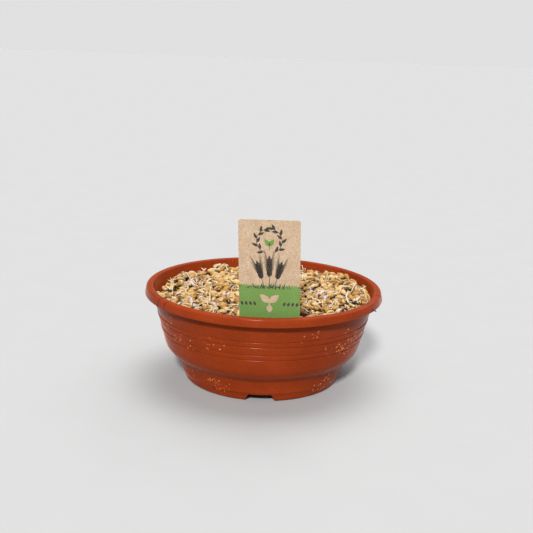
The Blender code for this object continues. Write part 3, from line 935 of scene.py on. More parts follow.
def tapered(base, body, tip, stations):
    """Radii along strands that start thick, run even and end fine."""
    t = np.linspace(0, 1, stations)[None]
    return body[:, None] * (1 - (1 - tip) * t**3) + (base - body)[:, None] * np.exp(-t * 7)


def strands_mesh(name, paths, radii, sides, tones):
    """Strands as closed tubes, with how far along each point lies and each strand's tone."""
    mesh = mesh_from_arrays(name, *tubes(paths, radii, sides))
    count, stations, _ = paths.shape
    along = np.linspace(0, 1, stations)[None, :, None]
    set_attribute(mesh, "along", np.broadcast_to(along, (count, stations, sides)))
    set_attribute(mesh, "tone", np.broadcast_to(tones[:, None, None], (count, stations, sides)))
    return mesh


def clear_of_label(paths):
    """Which paths stay off the card."""
    inverse = np.array(label_matrix().inverted())
    local = paths @ inverse[:3, :3].T + inverse[:3, 3]
    near = (np.abs(local[..., 0]) < LABEL_WIDTH / 2 + 1 * MM) & (np.abs(local[..., 2]) < 1.2 * MM)
    return ~near.any(axis=1)


def germ_points(heap, chosen):
    """Where each chosen grain has split, and the way its germ points."""
    local = heap.sizes[chosen] * np.array((0.44, 0, 0.16))
    ends = np.einsum("nij,nj->ni", heap.turns[chosen], local) + heap.centres[chosen]
    return ends, heap.turns[chosen][:, :, 0]


def sprouted(seed, share, length, climbs, wander, fall, stations, bridged):
    """Paths from the germs of that share of the grains that show."""
    heap = laid_heap()
    draw = np.random.default_rng(bpy.context.scene.cat_grass_bed.seed + seed)
    bare = np.flatnonzero(heap.shown() > CAN_SPROUT)
    owners = draw.choice(bare, int(len(bare) * share), replace=share > 1)
    starts, forward = germ_points(heap, owners)
    headings = np.arctan2(forward[:, 1], forward[:, 0]) + draw.normal(0, 0.6, len(owners))
    lengths = draw.gamma(4.0, length / 4, len(owners)).clip(length * 0.4, length * 2) * MM
    climbs = draw.uniform(*climbs, len(owners))
    cover = heap.cover(bridged)
    paths = crawled(starts, headings, climbs, lengths, wander, fall, stations, heap, cover, draw)
    return paths[clear_of_label(paths)], draw


def drawn(strands, stations):
    """Paths and radii of the strands that are given point by point."""
    heap = laid_heap()
    cover = heap.cover(1)
    paths = np.array([smooth_route(points, stations) for points, _, _ in strands])
    radii = np.array([np.linspace(root, tip, stations) for _, root, tip in strands]) * MM
    paths[..., 2] += cover[heap.cell_of(paths[..., 0]), heap.cell_of(paths[..., 1])] + radii / 2
    for _ in range(2):
        paths[:, 1:-1, 2] = (paths[:, :-2, 2] + 2 * paths[:, 1:-1, 2] + paths[:, 2:, 2]) / 4
    return paths, radii


def with_drawn(paths, radii, strands):
    """The paths and radii of grown strands, and after them of those that are given point by point."""
    drawn_paths, drawn_radii = drawn(strands, paths.shape[1])
    return np.concatenate((paths, drawn_paths)), np.concatenate((radii, drawn_radii))


def rootlets_mesh():
    """Bare young rootlets: thin, pale and curved."""
    paths, draw = sprouted(
        seed=1, share=0.42, length=5.0, climbs=(-0.1, 0.5), wander=0.18, fall=0.14, stations=11, bridged=1
    )
    body = draw.uniform(0.24, 0.38, len(paths)) * MM
    paths, radii = with_drawn(paths, tapered(body * 1.6, body, 0.4, 11), DRAWN_ROOTLETS)
    return strands_mesh("rootlets", paths, radii, 6, draw.random(len(paths)))


@functools.lru_cache(maxsize=1)
def felted_roots():
    """Short roots in thick sleeves of root hairs, which lie in the gaps: their paths and radii."""
    stations = 12
    paths, draw = sprouted(
        seed=2, share=0.13, length=4.2, climbs=(-0.2, 0.3), wander=0.1, fall=0.14, stations=12, bridged=0
    )
    body = draw.uniform(0.9, 1.4, len(paths))[:, None] * np.linspace(1, 0.5, stations) * MM
    paths[..., 2] -= 0.5 * MM
    paths, body = with_drawn(paths, body, FELTED)
    bulge = 0.45 + 0.55 * np.sin(math.pi * np.linspace(0.05, 0.97, stations) ** 0.6)
    return paths, body * bulge


def felt_sleeves_mesh():
    paths, radii = felted_roots()
    draw = np.random.default_rng(23)
    mesh = strands_mesh("felt_sleeves", paths, radii, 12, draw.random(len(paths)))
    # Without a seed this noise would be another one in each run
    noise.seed_set(24)
    for vertex in mesh.vertices:
        vertex.co += noise.noise_vector(vertex.co / (0.9 * MM)) * 0.22 * MM
    return mesh


def root_hairs_mesh():
    """The longest of the root hairs: fine spikes that stand out of the sleeves all round."""
    paths, radii = felted_roots()
    draw = np.random.default_rng(22)
    owner = np.repeat(np.arange(len(paths)), 90)
    t = draw.uniform(0.02, 0.95, len(owner)) * (paths.shape[1] - 1)
    low = t.astype(int)
    share = (t - low)[:, None]
    base = paths[owner, low] * (1 - share) + paths[owner, low + 1] * share
    tangent = unit(paths[owner, low + 1] - paths[owner, low])
    away = draw.normal(0, 1, (len(owner), 3))
    away = unit(away - tangent * (away * tangent).sum(axis=1, keepdims=True))
    away = away + tangent * draw.normal(0.5, 0.4, (len(owner), 1))
    length = radii[owner, low] + draw.uniform(0.2, 0.7, len(owner)) * MM
    return spikes_mesh("root_hairs", base, base + away * length[:, None], 0.09 * MM, draw)


def spikes_mesh(name, base, tip, radius, draw):
    """Fine three-sided spikes, closed at their feet."""
    axis = unit(tip - base)
    side = unit(np.cross(axis, (0.2, 0.6, 0.77)))
    other = np.cross(axis, side)
    angles = (0, math.tau / 3, 2 * math.tau / 3)
    corners = [base + (side * math.cos(a) + other * math.sin(a)) * radius for a in angles]
    points = np.stack((*corners, tip), axis=1).reshape(-1, 3)
    faces = [repeated(np.array([f]), len(base), 4) for f in ((0, 1, 3), (1, 2, 3), (2, 0, 3), (2, 1, 0))]
    mesh = mesh_from_arrays(name, points, np.concatenate(faces))
    set_attribute(mesh, "tone", np.repeat(draw.random(len(base)), 4))
    return mesh


# Strands that are seen one by one: the points of each, as x, y and height over the grains in mm, and its
# radii in mm at its root and its tip. First the bare rootlets.
DRAWN_ROOTLETS = (
    (((-70, 33, 1), (-74, 31.5, 2.5), (-79, 29.8, 3.2), (-83, 28.6, 3.6)), 0.3, 0.22),
    (((-76, 50, 3.5), (-71, 41, 1.5), (-66, 34, 0.3)), 0.6, 0.4),
    (((-54, 15, 0.2), (-53, 19, 2.5), (-51, 24, 4.5)), 0.38, 0.28),
    (((-61, 30, 0.4), (-58, 22, 1), (-56, 15, 0.2)), 0.38, 0.3),
    (((-66, 29, 0.5), (-61, 23, 1.2), (-56, 16, 0.4)), 0.6, 0.4),
    (((-66, -2, 0.5), (-69, -9, 1.2), (-74, -15, 0.2)), 0.48, 0.3),
    (((-22, 7, 0.8), (-25, 1, 1.2), (-28, -4, 0.2)), 0.5, 0.35),
    (((-40, -53, 0.3), (-42, -57, 1), (-45, -60, 0.2)), 0.42, 0.3),
    (((34, 84, 4), (36, 77, 2.5), (38, 69, 0.5)), 0.38, 0.3),
    (((66, 70, 3), (66.5, 62, 1.8), (67, 55, 0.3)), 0.5, 0.35),
    (((38, 4, 0.3), (41, -4, 1), (45, -12, 0.2)), 0.34, 0.26),
    (((33, -49, 0.3), (37, -55, 1.2), (40, -61, 0.2)), 0.42, 0.3),
    (((54, -40, 0.2), (60, -33, 1.5), (58, -39, 0.4)), 0.42, 0.3),
    (((49, -32, 0.2), (48, -38, 1.4), (51, -43, 0.2)), 0.42, 0.3),
    (((90, -4, 0.5), (91, -9, 1.5), (91, -13, 0.3)), 0.38, 0.28),
    (((-55, -55, 0.2), (-55, -50, 1.5), (-51, -52, 0.3)), 0.45, 0.3),
    (((70.1, 58.9, 4.2), (66, 63.5, 2.6), (62.9, 66.4, 3.2)), 0.45, 0.28),
)
# Then the shoots
DRAWN_SHOOTS = (
    (((-43, -38, -1), (-43.4, -36, 4), (-43.2, -34.5, 9), (-42.4, -33, 14)), 0.7, 0.42),
    (((71, -14, 4.5), (68.5, -20, 3.2), (69, -30, 1.5), (71.5, -38, 0.4), (73.5, -41, 0.2)), 0.7, 0.95),
    (((-64, -2, 2.5), (-65.5, -11, 1.2), (-61, -22, 0.3)), 0.5, 0.8),
    (((-56, 61, 0), (-57, 61.5, 2), (-58.5, 62, 3.6)), 0.75, 0.22),
    (((-55.5, 60, 0), (-54.5, 61, 2.4), (-53.5, 62, 4.4)), 0.75, 0.22),
    (((-41, 65, 0), (-39, 67, 2), (-36.5, 69, 3.6)), 0.6, 0.32),
    (((-79, 18, 0), (-80.5, 21, 2), (-82.5, 24, 3.6)), 0.65, 0.25),
    (((-79, 8, 0.2), (-78, 12, 1.6), (-76, 16, 2.8)), 0.48, 0.26),
    (((55, 39, 0.2), (56, 43, 2), (57, 48, 3)), 0.48, 0.28),
    (((83, 10, 0.3), (86, 13, 1.5), (89, 16, 2.4)), 0.55, 0.32),
    (((79, 11, 2.8), (76.5, 5, 1.8), (74, -1, 0.3)), 0.55, 0.35),
    (((34, -45, 0.2), (34.5, -43, 2), (35, -41, 4)), 0.55, 0.3),
    (((71, -31, 0.2), (70.5, -33, 2.5), (71.5, -35, 1)), 0.6, 0.35),
)
# And the roots in felt, whose radii are those of their sleeves
FELTED = (
    (((-67, 25, -0.6), (-62, 19.5, 0), (-57, 14, -0.5)), 1.8, 0.9),
    (((-58, -38, -1.2), (-59.5, -30, -0.8), (-63, -22, -0.7)), 1.8, 0.8),
    (((-29, -8, -0.6), (-31, -14, 0), (-33, -21, -0.8)), 1.2, 2.6),
    (((-42, -40, -0.8), (-39, -43, -0.2), (-36, -46, -0.6)), 1.6, 1.4),
    (((-56, -48, -0.6), (-52, -46, -0.2)), 1.6, 1.2),
    (((-70, 27, -0.5), (-65, 22, -0.3)), 1.4, 1.1),
    (((45, -9, -0.8), (49, -6, 0), (53, -4, -0.4)), 1.3, 2.1),
    (((39, -5, -0.8), (42, 2, -0.2)), 1.7, 1.0),
    (((75, -14, -0.6), (81, -11, 0)), 1.9, 1.3),
    (((50, -22, -0.8), (55, -16, -0.3)), 1.6, 1.1),
    (((58, -53, -0.6), (64, -49, -0.2)), 1.7, 1.2),
)


def smooth_route(points, stations):
    """A route through a few points, read off evenly from a smooth curve."""
    points = np.array(points) * MM
    padded = np.concatenate((2 * points[:1] - points[1:2], points, 2 * points[-1:] - points[-2:-1]))
    t = np.linspace(0, len(points) - 1, stations)
    piece = np.minimum(t.astype(int), len(points) - 2)
    u = (t - piece)[:, None]
    a, b, c, d = (padded[piece + i] for i in range(4))
    return 0.5 * (2 * b + (c - a) * u + (2 * a - 5 * b + 4 * c - d) * u**2 + (3 * b - a - 3 * c + d) * u**3)


def shoots_mesh():
    """Short pale shoots: some lean over the grains, and a few stand up as in nature."""
    paths, draw = sprouted(
        seed=3, share=0.13, length=4.6, climbs=(0.1, 0.8), wander=0.06, fall=0.03, stations=10, bridged=1
    )
    body = draw.uniform(0.5, 0.68, len(paths)) * MM
    paths, radii = with_drawn(paths, tapered(body * 1.4, body, 0.3, 10), DRAWN_SHOOTS)
    return strands_mesh("shoots", paths, radii, 8, draw.random(len(paths)))


def living_tissue(name, roughness, depth):
    """Tissue full of water, which lets light in to some depth, and what its strands' attributes give."""
    soft = {"Subsurface_Weight": 0.12, "Subsurface_Scale": depth}
    material, tree, shader = new_material(name, Roughness=roughness, IOR=1.4, **soft)
    tone = add_node(tree, "Attribute", {}, "Fac", attribute_name="tone")
    along = add_node(tree, "Attribute", {}, "Fac", attribute_name="along")
    return material, tree, shader, tone, along


def rootlet_skin(settings):
    """Living root tissue, grown in air."""
    material, tree, shader, tone, along = living_tissue("wheat_rootlet_living", 0.45, 0.8 * MM)
    # It is cream white and moist, and a little duller towards its tip.
    layers = ((tone, 0, 1, 1, "#BBAC98"), (along, 0.5, 1, 0.4, "#AE9D82"))
    dress(tree, shader, tinted(tree, settings.root, *layers))
    return material


def shoot_skin(settings):
    """Coleoptile, the sheath of a first leaf, grown in the dark."""
    material, tree, shader, tone, along = living_tissue("wheat_coleoptile_living", 0.42, 1.0 * MM)
    # It is white at its foot and yellow-green above, smooth and moist.
    white = tinted(tree, settings.root, (tone, 0, 1, 1, "#BDB198"))
    green = tinted(tree, settings.shoot, (tone, 0, 1, 1, "#B9AE88"))
    dress(tree, shader, tinted(tree, white, (along, 0.1, 0.8, 1, green)))
    return material


def root_down(settings):
    """Root hairs, grown in moist air."""
    # Together they look like grey-lilac felt. Real ones are 0.01 mm thick. The single ones are drawn at
    # 0.18 mm and fewer, so that they show, and the rest are the sleeve below them with streaks of 0.8 mm.
    material, tree, shader = new_material("wheat_root_hair_living", Roughness=0.7)
    tone = add_node(tree, "Attribute", {}, "Fac", attribute_name="tone")
    place = add_node(tree, "TexCoord", {}, "Object")
    streaks = add_node(tree, "TexNoise", {"Vector": place, "Scale": 1 / (0.8 * MM), "Detail": 3})
    layers = ((tone, 0, 1, 1, "#BDB0A4"), (streaks, 0.42, 0.62, 0.55, "#7E6C60"))
    dress(tree, shader, tinted(tree, settings.root_hair, *layers), streaks, 0.3 * MM)
    return material


# The peat


def peat_mesh():
    """The filling under the grains: a turned body whose upper face is crumbly."""
    rings, spokes = 44, 144
    floor = FLOOR_HEIGHT + FLOOR_THICKNESS + 0.4 * MM
    edge_height = BED_LEVEL - PEAT_BELOW
    edge_radius = mouth_wall_radius(edge_height)
    profile = [(edge_radius * i / rings, edge_height) for i in range(rings)]
    profile += [(edge_radius - 0.4 * MM, edge_height)]
    profile += [(x - 2 * WALL, y) for x, y in ogee(6)]
    profile += [(FOOT_RADIUS - 4 * WALL, floor + 2 * MM), (0, floor)]
    blank = turned("peat_blank", profile, spokes)
    mesh = evaluated_mesh(blank)
    bpy.data.objects.remove(blank)
    for vertex in mesh.vertices:
        if vertex.co.z < edge_height - 0.1 * MM:
            continue
        x, y = vertex.co.xy
        crumbs = noise.fractal(vertex.co / (4 * MM), 0.8, 2.0, 4) * 1.1 * MM
        vertex.co.z = float(peat_height(np.float64(x), np.float64(y))) + crumbs - 0.5 * MM
    mesh.shade_smooth()
    return mesh


def moist_peat(settings):
    """Sphagnum peat, milled and watered."""
    material, tree, shader = new_material("sphagnum_peat_milled", Roughness=0.92, IOR=1.35)
    place = add_node(tree, "TexCoord", {}, "Object")
    # It is nearly black and quite matt, with brown crumbs of 2 mm and rusty fibres among them.
    crumbs = {"Vector": place, "Scale": 1 / (2.2 * MM), "Detail": 4, "Roughness": 0.6}
    crumbs = add_node(tree, "TexNoise", crumbs)
    fibres = add_node(tree, "TexNoise", {"Vector": place, "Scale": 1 / (0.8 * MM), "Detail": 1})
    layers = ((crumbs, 0.35, 0.7, 1, "#432010"), (fibres, 0.66, 0.74, 0.7, "#7A4219"))
    dress(tree, shader, tinted(tree, settings.peat, *layers), crumbs, 0.8 * MM)
    return material


def peat_crumbs_mesh():
    """Crumbs of peat: in the bare places, a few among the grains, and some on the rim and the walls."""
    draw = np.random.default_rng(41)
    heap = laid_heap()
    spots = []
    for spot_x, spot_y, reach in PEAT_SPOTS:
        for _ in range(int(10 * reach)):
            x, y = (np.array((spot_x, spot_y)) + draw.normal(0, 0.45, 2) * reach) * MM
            low = heap.level_at(x, y)
            z = draw.uniform(low, max(low, bed_height(x, y) - 1.0 * MM))
            spots.append((x, y, z + 0.2 * MM, draw.uniform(0.7, 1.6)))
    for _ in range(90):
        x, y = on_circle(draw.uniform(0, 360), 90 * MM * math.sqrt(draw.random()))
        spots.append((x, y, float(heap.level_at(x, y)) + 0.1 * MM, draw.uniform(0.3, 0.7)))
    settings = bpy.context.scene.cat_grass_bowl
    ledge = settings.height + 0.15 * MM
    for azimuth, radius, size in RIM_CRUMBS:
        spots.append((*on_circle(azimuth, radius * MM), ledge - 0.4 * MM * (radius > 98), size))
    for azimuth, height, size in WALL_CRUMBS:
        radius = upper_wall_radius(height * MM) + 0.1 * MM
        spots.append((*on_circle(azimuth, radius), height * MM, size))
    for share in np.linspace(0, 1, 6):
        azimuth, radius, height = np.array(FIBRE[0]) * (1 - share) + np.array(FIBRE[1]) * share
        spots.append((*on_circle(azimuth, radius * MM), height * MM, 0.8))
    for azimuth, height, size in INNER_WALL_CRUMBS:
        radius = mouth_wall_radius(height * MM) - 0.15 * MM
        spots.append((*on_circle(azimuth, radius), height * MM, size))
    bm = bmesh.new()
    for x, y, z, size in spots:
        made = bmesh.ops.create_icosphere(bm, subdivisions=1, radius=size * MM / 1.6)["verts"]
        turn = Euler(draw.uniform(0, math.tau, 3)).to_matrix()
        for vertex in made:
            vertex.co = turn @ (vertex.co * draw.uniform(0.65, 1.3))
            vertex.co += Vector((x, y, z))
    return mesh_from_bm("peat_crumbs", bm)


# Crumbs that lie on the rim: azimuth, radius in mm, size in mm
RIM_CRUMBS = (
    (330, 96.5, 0.6),
    (328, 98.3, 0.7),
    (327, 97.4, 0.45),
    (113, 95.0, 0.5),
    (273.5, 94.6, 0.6),
    (270, 94.4, 0.4),
    (331.5, 95.2, 0.35),
    (235, 96.0, 0.3),
)

# A fibre of peat that hangs on the rim: the azimuth, radius and height of its ends, in mm
FIBRE = ((331, 99.7, 74.8), (331.8, 102.0, 73.4))

# Crumbs that stick to the bowl: azimuth, height in mm, size in mm
WALL_CRUMBS = (
    (287, 67.8, 0.5),
    (292, 68.8, 0.35),
    (264, 57.9, 0.4),
    (248, 64.9, 0.45),
    (240, 66.5, 0.3),
    (301, 61.0, 0.4),
    (281, 50.5, 0.35),
    (315, 66.0, 0.5),
)
INNER_WALL_CRUMBS = (
    (113, 77.5, 0.7),
    (122, 76.5, 0.9),
    (128, 75.6, 1.0),
    (60, 77.8, 0.7),
    (34, 77.6, 0.6),
    (40.3, 77.9, 0.8),
    (41.3, 77.3, 0.5),
)


# Water on the outside of the bowl

# Patches of droplets: azimuth, height in mm, how far they spread in degrees and mm, and their share. The
# one that lies over 70 mm high is on the inside.
DROPLET_PATCHES = (
    (205, 54, 6, 7, 5),
    (216, 52, 6, 6, 5),
    (226, 46, 5, 4, 3),
    (238, 52, 6, 4, 4),
    (203, 36, 5, 4, 3),
    (212, 18, 6, 3, 2),
    (238, 14, 5, 3, 5),
    (245, 8, 4, 2, 1),
    (298, 62, 8, 3, 1),
    (311, 45, 6, 4, 4),
    (320, 45, 5, 3, 8),
    (326, 54, 6, 4, 4),
    (333, 50, 5, 5, 4),
    (331, 18, 5, 3, 4),
    (322, 12, 5, 4, 6),
    (316, 6, 4, 2, 2),
    (90, 48, 60, 12, 5),
    (110, 77.2, 1.6, 0.9, 1),
)


def outside_at(height, settings):
    """The outside's radius and its gain per unit of height, from the foot to under the rim."""
    wall = np.array(outside_wall(settings.height, settings.groove_depth))[::-1]
    radius = np.interp(height, wall[:, 1], wall[:, 0])
    step = 0.3 * MM
    above, below = (np.interp(height + side * step, wall[:, 1], wall[:, 0]) for side in (1, -1))
    return radius, (above - below) / (2 * step)


def droplets_mesh(settings):
    """Water droplets as low domes that stand on the wall."""
    draw = np.random.default_rng(51)
    patches = np.array(DROPLET_PATCHES, float)
    which = draw.choice(len(patches), settings.droplets, p=patches[:, 4] / patches[:, 4].sum())
    azimuth = np.radians(patches[which, 0] + draw.normal(0, 1, len(which)) * patches[which, 2])
    inside = patches[which, 1] > 70
    height = patches[which, 1] + draw.normal(0, 1, len(which)) * patches[which, 3]
    height = height.clip(4.5, np.where(inside, 78.5, 69)) * MM
    size = settings.droplet_radius * draw.beta(1.6, 3.2, len(which)).clip(0.18, 1)
    radius, slope = outside_at(height, settings)
    radius = np.where(inside, mouth_wall_radius(height), radius)
    cos, sin = np.cos(azimuth), np.sin(azimuth)
    outward = unit(np.stack((cos, sin, -slope), axis=-1) * np.where(inside, -1, 1)[:, None])
    level = np.stack((-sin, cos, np.zeros_like(azimuth)), axis=-1)
    upward = np.cross(outward, level)
    foot = np.stack((radius * cos, radius * sin, height), axis=-1)
    rings, sides = 4, 10
    points = []
    for angle in np.linspace(0, math.pi / 2, rings + 1)[:-1]:
        out, flat = 0.55 * math.sin(angle) - 0.12, math.cos(angle)
        for side in math.tau * np.arange(sides) / sides:
            across, along = math.cos(side) * flat, math.sin(side) * flat - 0.15 * math.sin(angle)
            points.append(foot + size[:, None] * (level * across + upward * along * 1.1 + outward * out))
    points.append(foot + size[:, None] * (outward * 0.43 - upward * 0.16))
    points = np.stack(points, axis=1)
    here = np.arange(sides)
    last = (rings - 1) * sides
    caps = np.stack((last + here, last + (here + 1) % sides, np.full(sides, rings * sides)), axis=-1)
    face_sets = (ring_quads(rings, sides), caps, here[None, ::-1])
    face_sets = [repeated(faces, len(foot), points.shape[1]) for faces in face_sets]
    return mesh_from_arrays("droplets", points.reshape(-1, 3), *face_sets)


def water_on_plastic():
    """Water, standing in droplets on the plastic."""
    # Each is painted a pale orange as painted light: the light it gathers from the wall behind it, so it
    # looks paler than the wall. Its one sharp glint comes from its gloss.
    clear = {"IOR": 1.33, "Transmission_Weight": 0.25}
    material, tree, shader = new_material("water_droplet_standing", Roughness=0.04, **clear)
    place = add_node(tree, "TexCoord", {}, "Object")
    clouds = add_node(tree, "TexNoise", {"Vector": place, "Scale": 1 / (3 * MM), "Detail": 1})
    dress(tree, shader, tinted(tree, "#BC5A26", (clouds, 0.35, 0.65, 1, "#D08148")))
    return material


# The label's card and its print


def label_matrix():
    """Where the card stands. It is drawn in X and Y, and Y is turned up to Z."""
    turn = Euler((0, 0, LABEL_YAW)).to_matrix() @ Euler((LABEL_LEAN, 0, 0)).to_matrix()
    turn = turn @ Euler((0, LABEL_ROLL, 0)).to_matrix() @ Euler((math.pi / 2, 0, 0)).to_matrix()
    return Matrix.Translation(LABEL_PLACE) @ turn.to_4x4()


def leaf_outline(length, width, fullness=0.75, count=9):
    """A pointed leaf from the origin along +Y."""
    t = np.linspace(0, 1, count)
    half = width / 2 * np.sin(math.pi * t**fullness) ** 0.9
    right = np.stack((half, t * length), axis=-1)
    left = np.stack((-half, t * length), axis=-1)[1:-1][::-1]
    return np.concatenate((right, left))


def blade_outline(length, width, lean, count=7):
    """A tapered blade of grass that bends sideways towards its tip."""
    t = np.linspace(0, 1, count)
    middle = np.stack((lean * t**2, t * length), axis=-1)
    half = np.stack((width / 2 * (1 - t**2), np.zeros(count)), axis=-1)
    return np.concatenate((middle + half, (middle - half)[:-1][::-1]))


def ribbon_outline(points, width):
    """A strip of even width along a line."""
    points = np.asarray(points)
    along = unit(np.gradient(points, axis=0))
    square = np.stack((-along[:, 1], along[:, 0]), axis=-1) * width / 2
    return np.concatenate((points - square, (points + square)[::-1]))


def moved(outline, x, y, angle=0.0, scale=1.0):
    """An outline turned by an angle in degrees, clockwise from upright, and put in its place."""
    a = math.radians(angle)
    turn = np.array(((math.cos(a), -math.sin(a)), (math.sin(a), math.cos(a))))
    return outline @ turn * scale + np.array((x, y))


def wheat_ear(x, y, height, angle):
    """A drawn ear of wheat: its stalk, paired grains and awns."""
    shapes = [ribbon_outline(((0, 0), (0, height)), 0.45 * MM)]
    pairs, ear = 6, 0.6 * height
    for index in range(pairs):
        at = height - ear + ear * index / pairs
        for side in (-1, 1):
            shapes.append(moved(leaf_outline(4.6 * MM, 2.0 * MM), 0, at, side * 26))
            awn = blade_outline(8.5 * MM, 0.35 * MM, side * 0.6 * MM)
            shapes.append(moved(awn, side * 1.9 * MM, at + 4 * MM, side * 13))
    shapes.append(moved(leaf_outline(4.8 * MM, 2.1 * MM), 0, height - 0.3 * MM))
    return [moved(shape, x, y, angle) for shape in shapes]


def leafy_arc(radius, start, end, leaves, centre):
    """A sprig bent along an arc, with leaves on both sides. Angles are in degrees."""
    angles = np.radians(np.linspace(start, end, 24))
    line = np.stack((np.cos(angles), np.sin(angles)), axis=-1) * radius + centre
    shapes = [ribbon_outline(line, 0.4 * MM)]
    ahead = -90 if end < start else 90
    for index in range(leaves):
        angle = start + (end - start) * (index + 0.6) / leaves
        x, y = np.array(on_circle(angle, radius)) + centre
        heading = 90 - (angle + ahead)
        side = 38 if index % 2 else -38
        shapes.append(moved(leaf_outline(5.0 * MM, 2.1 * MM), x, y, heading + side))
    tip = np.array(on_circle(end, radius)) + centre
    shapes.append(moved(leaf_outline(4.4 * MM, 1.9 * MM), *tip, 90 - (end + ahead)))
    return shapes


def ink_shapes():
    """The drawing in dark ink: a leafy wreath, three ears of wheat, tufts of grass and rows of grains."""
    draw = np.random.default_rng(61)
    centre = np.array((0, 65.5 * MM))
    shapes = leafy_arc(9.5 * MM, 252, 108, 8, centre)
    shapes += leafy_arc(9.5 * MM, -72, 72, 8, centre)
    for x, height, angle in ((-4 * MM, 17 * MM, -15), (0, 20.5 * MM, 0), (4 * MM, 17 * MM, 15)):
        shapes += wheat_ear(x, GREEN_TOP - 0.5 * MM, height, angle)
    for x in draw.normal(0, 9.5, 46).clip(-22, 22) * MM:
        length = draw.uniform(1.5, 5.5) * MM * (1 - 0.5 * abs(x) / (22 * MM))
        lean = draw.normal(0, 1.0) * MM
        foot = GREEN_TOP - draw.uniform(0.8, 2.2) * MM
        shapes.append(moved(blade_outline(length, 0.6 * MM, lean), x, foot, draw.normal(0, 16)))
    for side in (-1, 1):
        for index in range(4):
            x = side * (10.5 + 3.2 * index) * MM
            shapes.append(moved(leaf_outline(3.6 * MM, 1.9 * MM, 0.9), x, 14.6 * MM, side * 24))
    return shapes


def kraft_shapes():
    """What is left bare in the green field: a sprouting grain with two leaves."""
    shapes = [moved(leaf_outline(6.5 * MM, 4.6 * MM, 1.0, 13), 0, 9.2 * MM)]
    shapes.append(ribbon_outline(((0, 14.5 * MM), (0, 20 * MM)), 1.1 * MM))
    for side in (-1, 1):
        shapes.append(moved(leaf_outline(9.5 * MM, 5.2 * MM, 0.85, 13), 0, 17.2 * MM, side * 48))
    return shapes


def green_shapes():
    """The printed green field with a fringe of blades, and a green leaf beside the wreath."""
    draw = np.random.default_rng(62)
    half = LABEL_WIDTH / 2 - 0.02 * MM
    field = np.array(((-half, -2 * MM), (half, -2 * MM), (half, GREEN_TOP), (-half, GREEN_TOP)))
    shapes = [field]
    for x in np.linspace(-half + 1 * MM, half - 1 * MM, 40):
        length = draw.uniform(0.9, 2.4) * MM + 0.6 * MM
        blade = blade_outline(length, 1.0 * MM, draw.normal(0, 0.5) * MM)
        shapes.append(moved(blade, x, GREEN_TOP - 0.6 * MM))
    for side in (-1, 1):
        shapes.append(moved(leaf_outline(6.6 * MM, 3.4 * MM), 0, 61.6 * MM, side * 32))
    shapes.append(ribbon_outline(((0, 58.6 * MM), (0, 62.4 * MM)), 0.7 * MM))
    return shapes


def print_mesh(name, shapes, level):
    """Shapes as thin closed slabs on the card's face, each a hair above the last."""
    vertices, faces = [], []
    front = LABEL_THICKNESS / 2 + level
    for index, outline in enumerate(shapes):
        outline = np.asarray(outline)
        x, y = outline[:, 0], outline[:, 1]
        if (x * np.roll(y, -1) - y * np.roll(x, -1)).sum() < 0:
            outline = outline[::-1]
        first, count = len(vertices), len(outline)
        lift = front + PRINT_THICKNESS * (1 + 0.02 * index / len(shapes))
        vertices += [(px, py, front) for px, py in outline]
        vertices += [(px, py, lift) for px, py in outline]
        faces.append([first + i for i in range(count)][::-1])
        faces.append([first + count + i for i in range(count)])
        for i in range(count):
            j = (i + 1) % count
            faces.append([first + i, first + j, first + count + j, first + count + i])
    mesh = bpy.data.meshes.new(name)
    mesh.from_pydata(vertices, [], faces)
    mesh.update()
    return mesh


def uncoated_board(name, roughness, colour, marks, tooth_depth):
    """A board with marks on it by their size in mm and detail, and with its own tooth of 0.4 mm."""
    material, tree, shader = new_material(name, Roughness=roughness, IOR=1.45)
    place = add_node(tree, "TexCoord", {}, "Object")
    for size, detail, *layer in marks:
        pattern = {"Vector": place, "Scale": 1 / (size * MM), "Detail": detail, "Roughness": 0.6}
        colour = tinted(tree, colour, (add_node(tree, "TexNoise", pattern), *layer))
    tooth = add_node(tree, "TexNoise", {"Vector": place, "Scale": 1 / (0.4 * MM), "Detail": 2})
    dress(tree, shader, colour, tooth, tooth_depth)
    return material


def kraft_card(settings, name="kraft_board_uncoated"):
    """Kraft board, unbleached and uncoated."""
    # It is a warm buff, cloudy as pulp settles, and dry to the eye. Real fibres are 0.03 mm thick. Brown
    # flecks and pale fibres are drawn at 0.6 to 1.3 mm, to show.
    marks = (
        (7, 4, 0.3, 0.7, 1, settings.kraft),
        (1.3, 2, 0.5, 0.66, 0.42, "#836647"),
        (0.6, 2, 0.56, 0.72, 0.5, "#75583A"),
        (1.0, 2, 0.54, 0.7, 0.45, "#C9B79F"),
    )
    return uncoated_board(name, 0.86, "#A1886D", marks, 0.03 * MM)


def printed_ink(name, ink, paper_share, cloud_tint):
    """Offset ink on uncoated board."""
    # It is matt, it lies unevenly, and the board's tooth shows through. The tooth is drawn at 0.7 mm.
    marks = ((8, 3, 0.3, 0.7, 0.3, cloud_tint), (0.7, 3, 0.5, 0.75, paper_share, "#A08A6C"))
    return uncoated_board(name, 0.8, ink, marks, 0.02 * MM)


# The studio


def aim_camera(settings):
    """The camera at the photograph's place, with its level turned a little."""
    back = Vector((0, -math.cos(settings.elevation), math.sin(settings.elevation)))
    right = Vector((1, 0, 0))
    up = right.cross(-back)
    across = right * math.cos(settings.roll) + up * math.sin(settings.roll)
    upward = -right * math.sin(settings.roll) + up * math.cos(settings.roll)
    camera = helper_object("camera", bpy.data.cameras.new("camera"))
    camera.data.lens = settings.lens
    camera.data.sensor_width = 36
    turn = Matrix((across, upward, back)).transposed().to_4x4()
    camera.matrix_world = Matrix.Translation(CAMERA_TARGET + back * settings.distance) @ turn
    bpy.context.scene.camera = camera


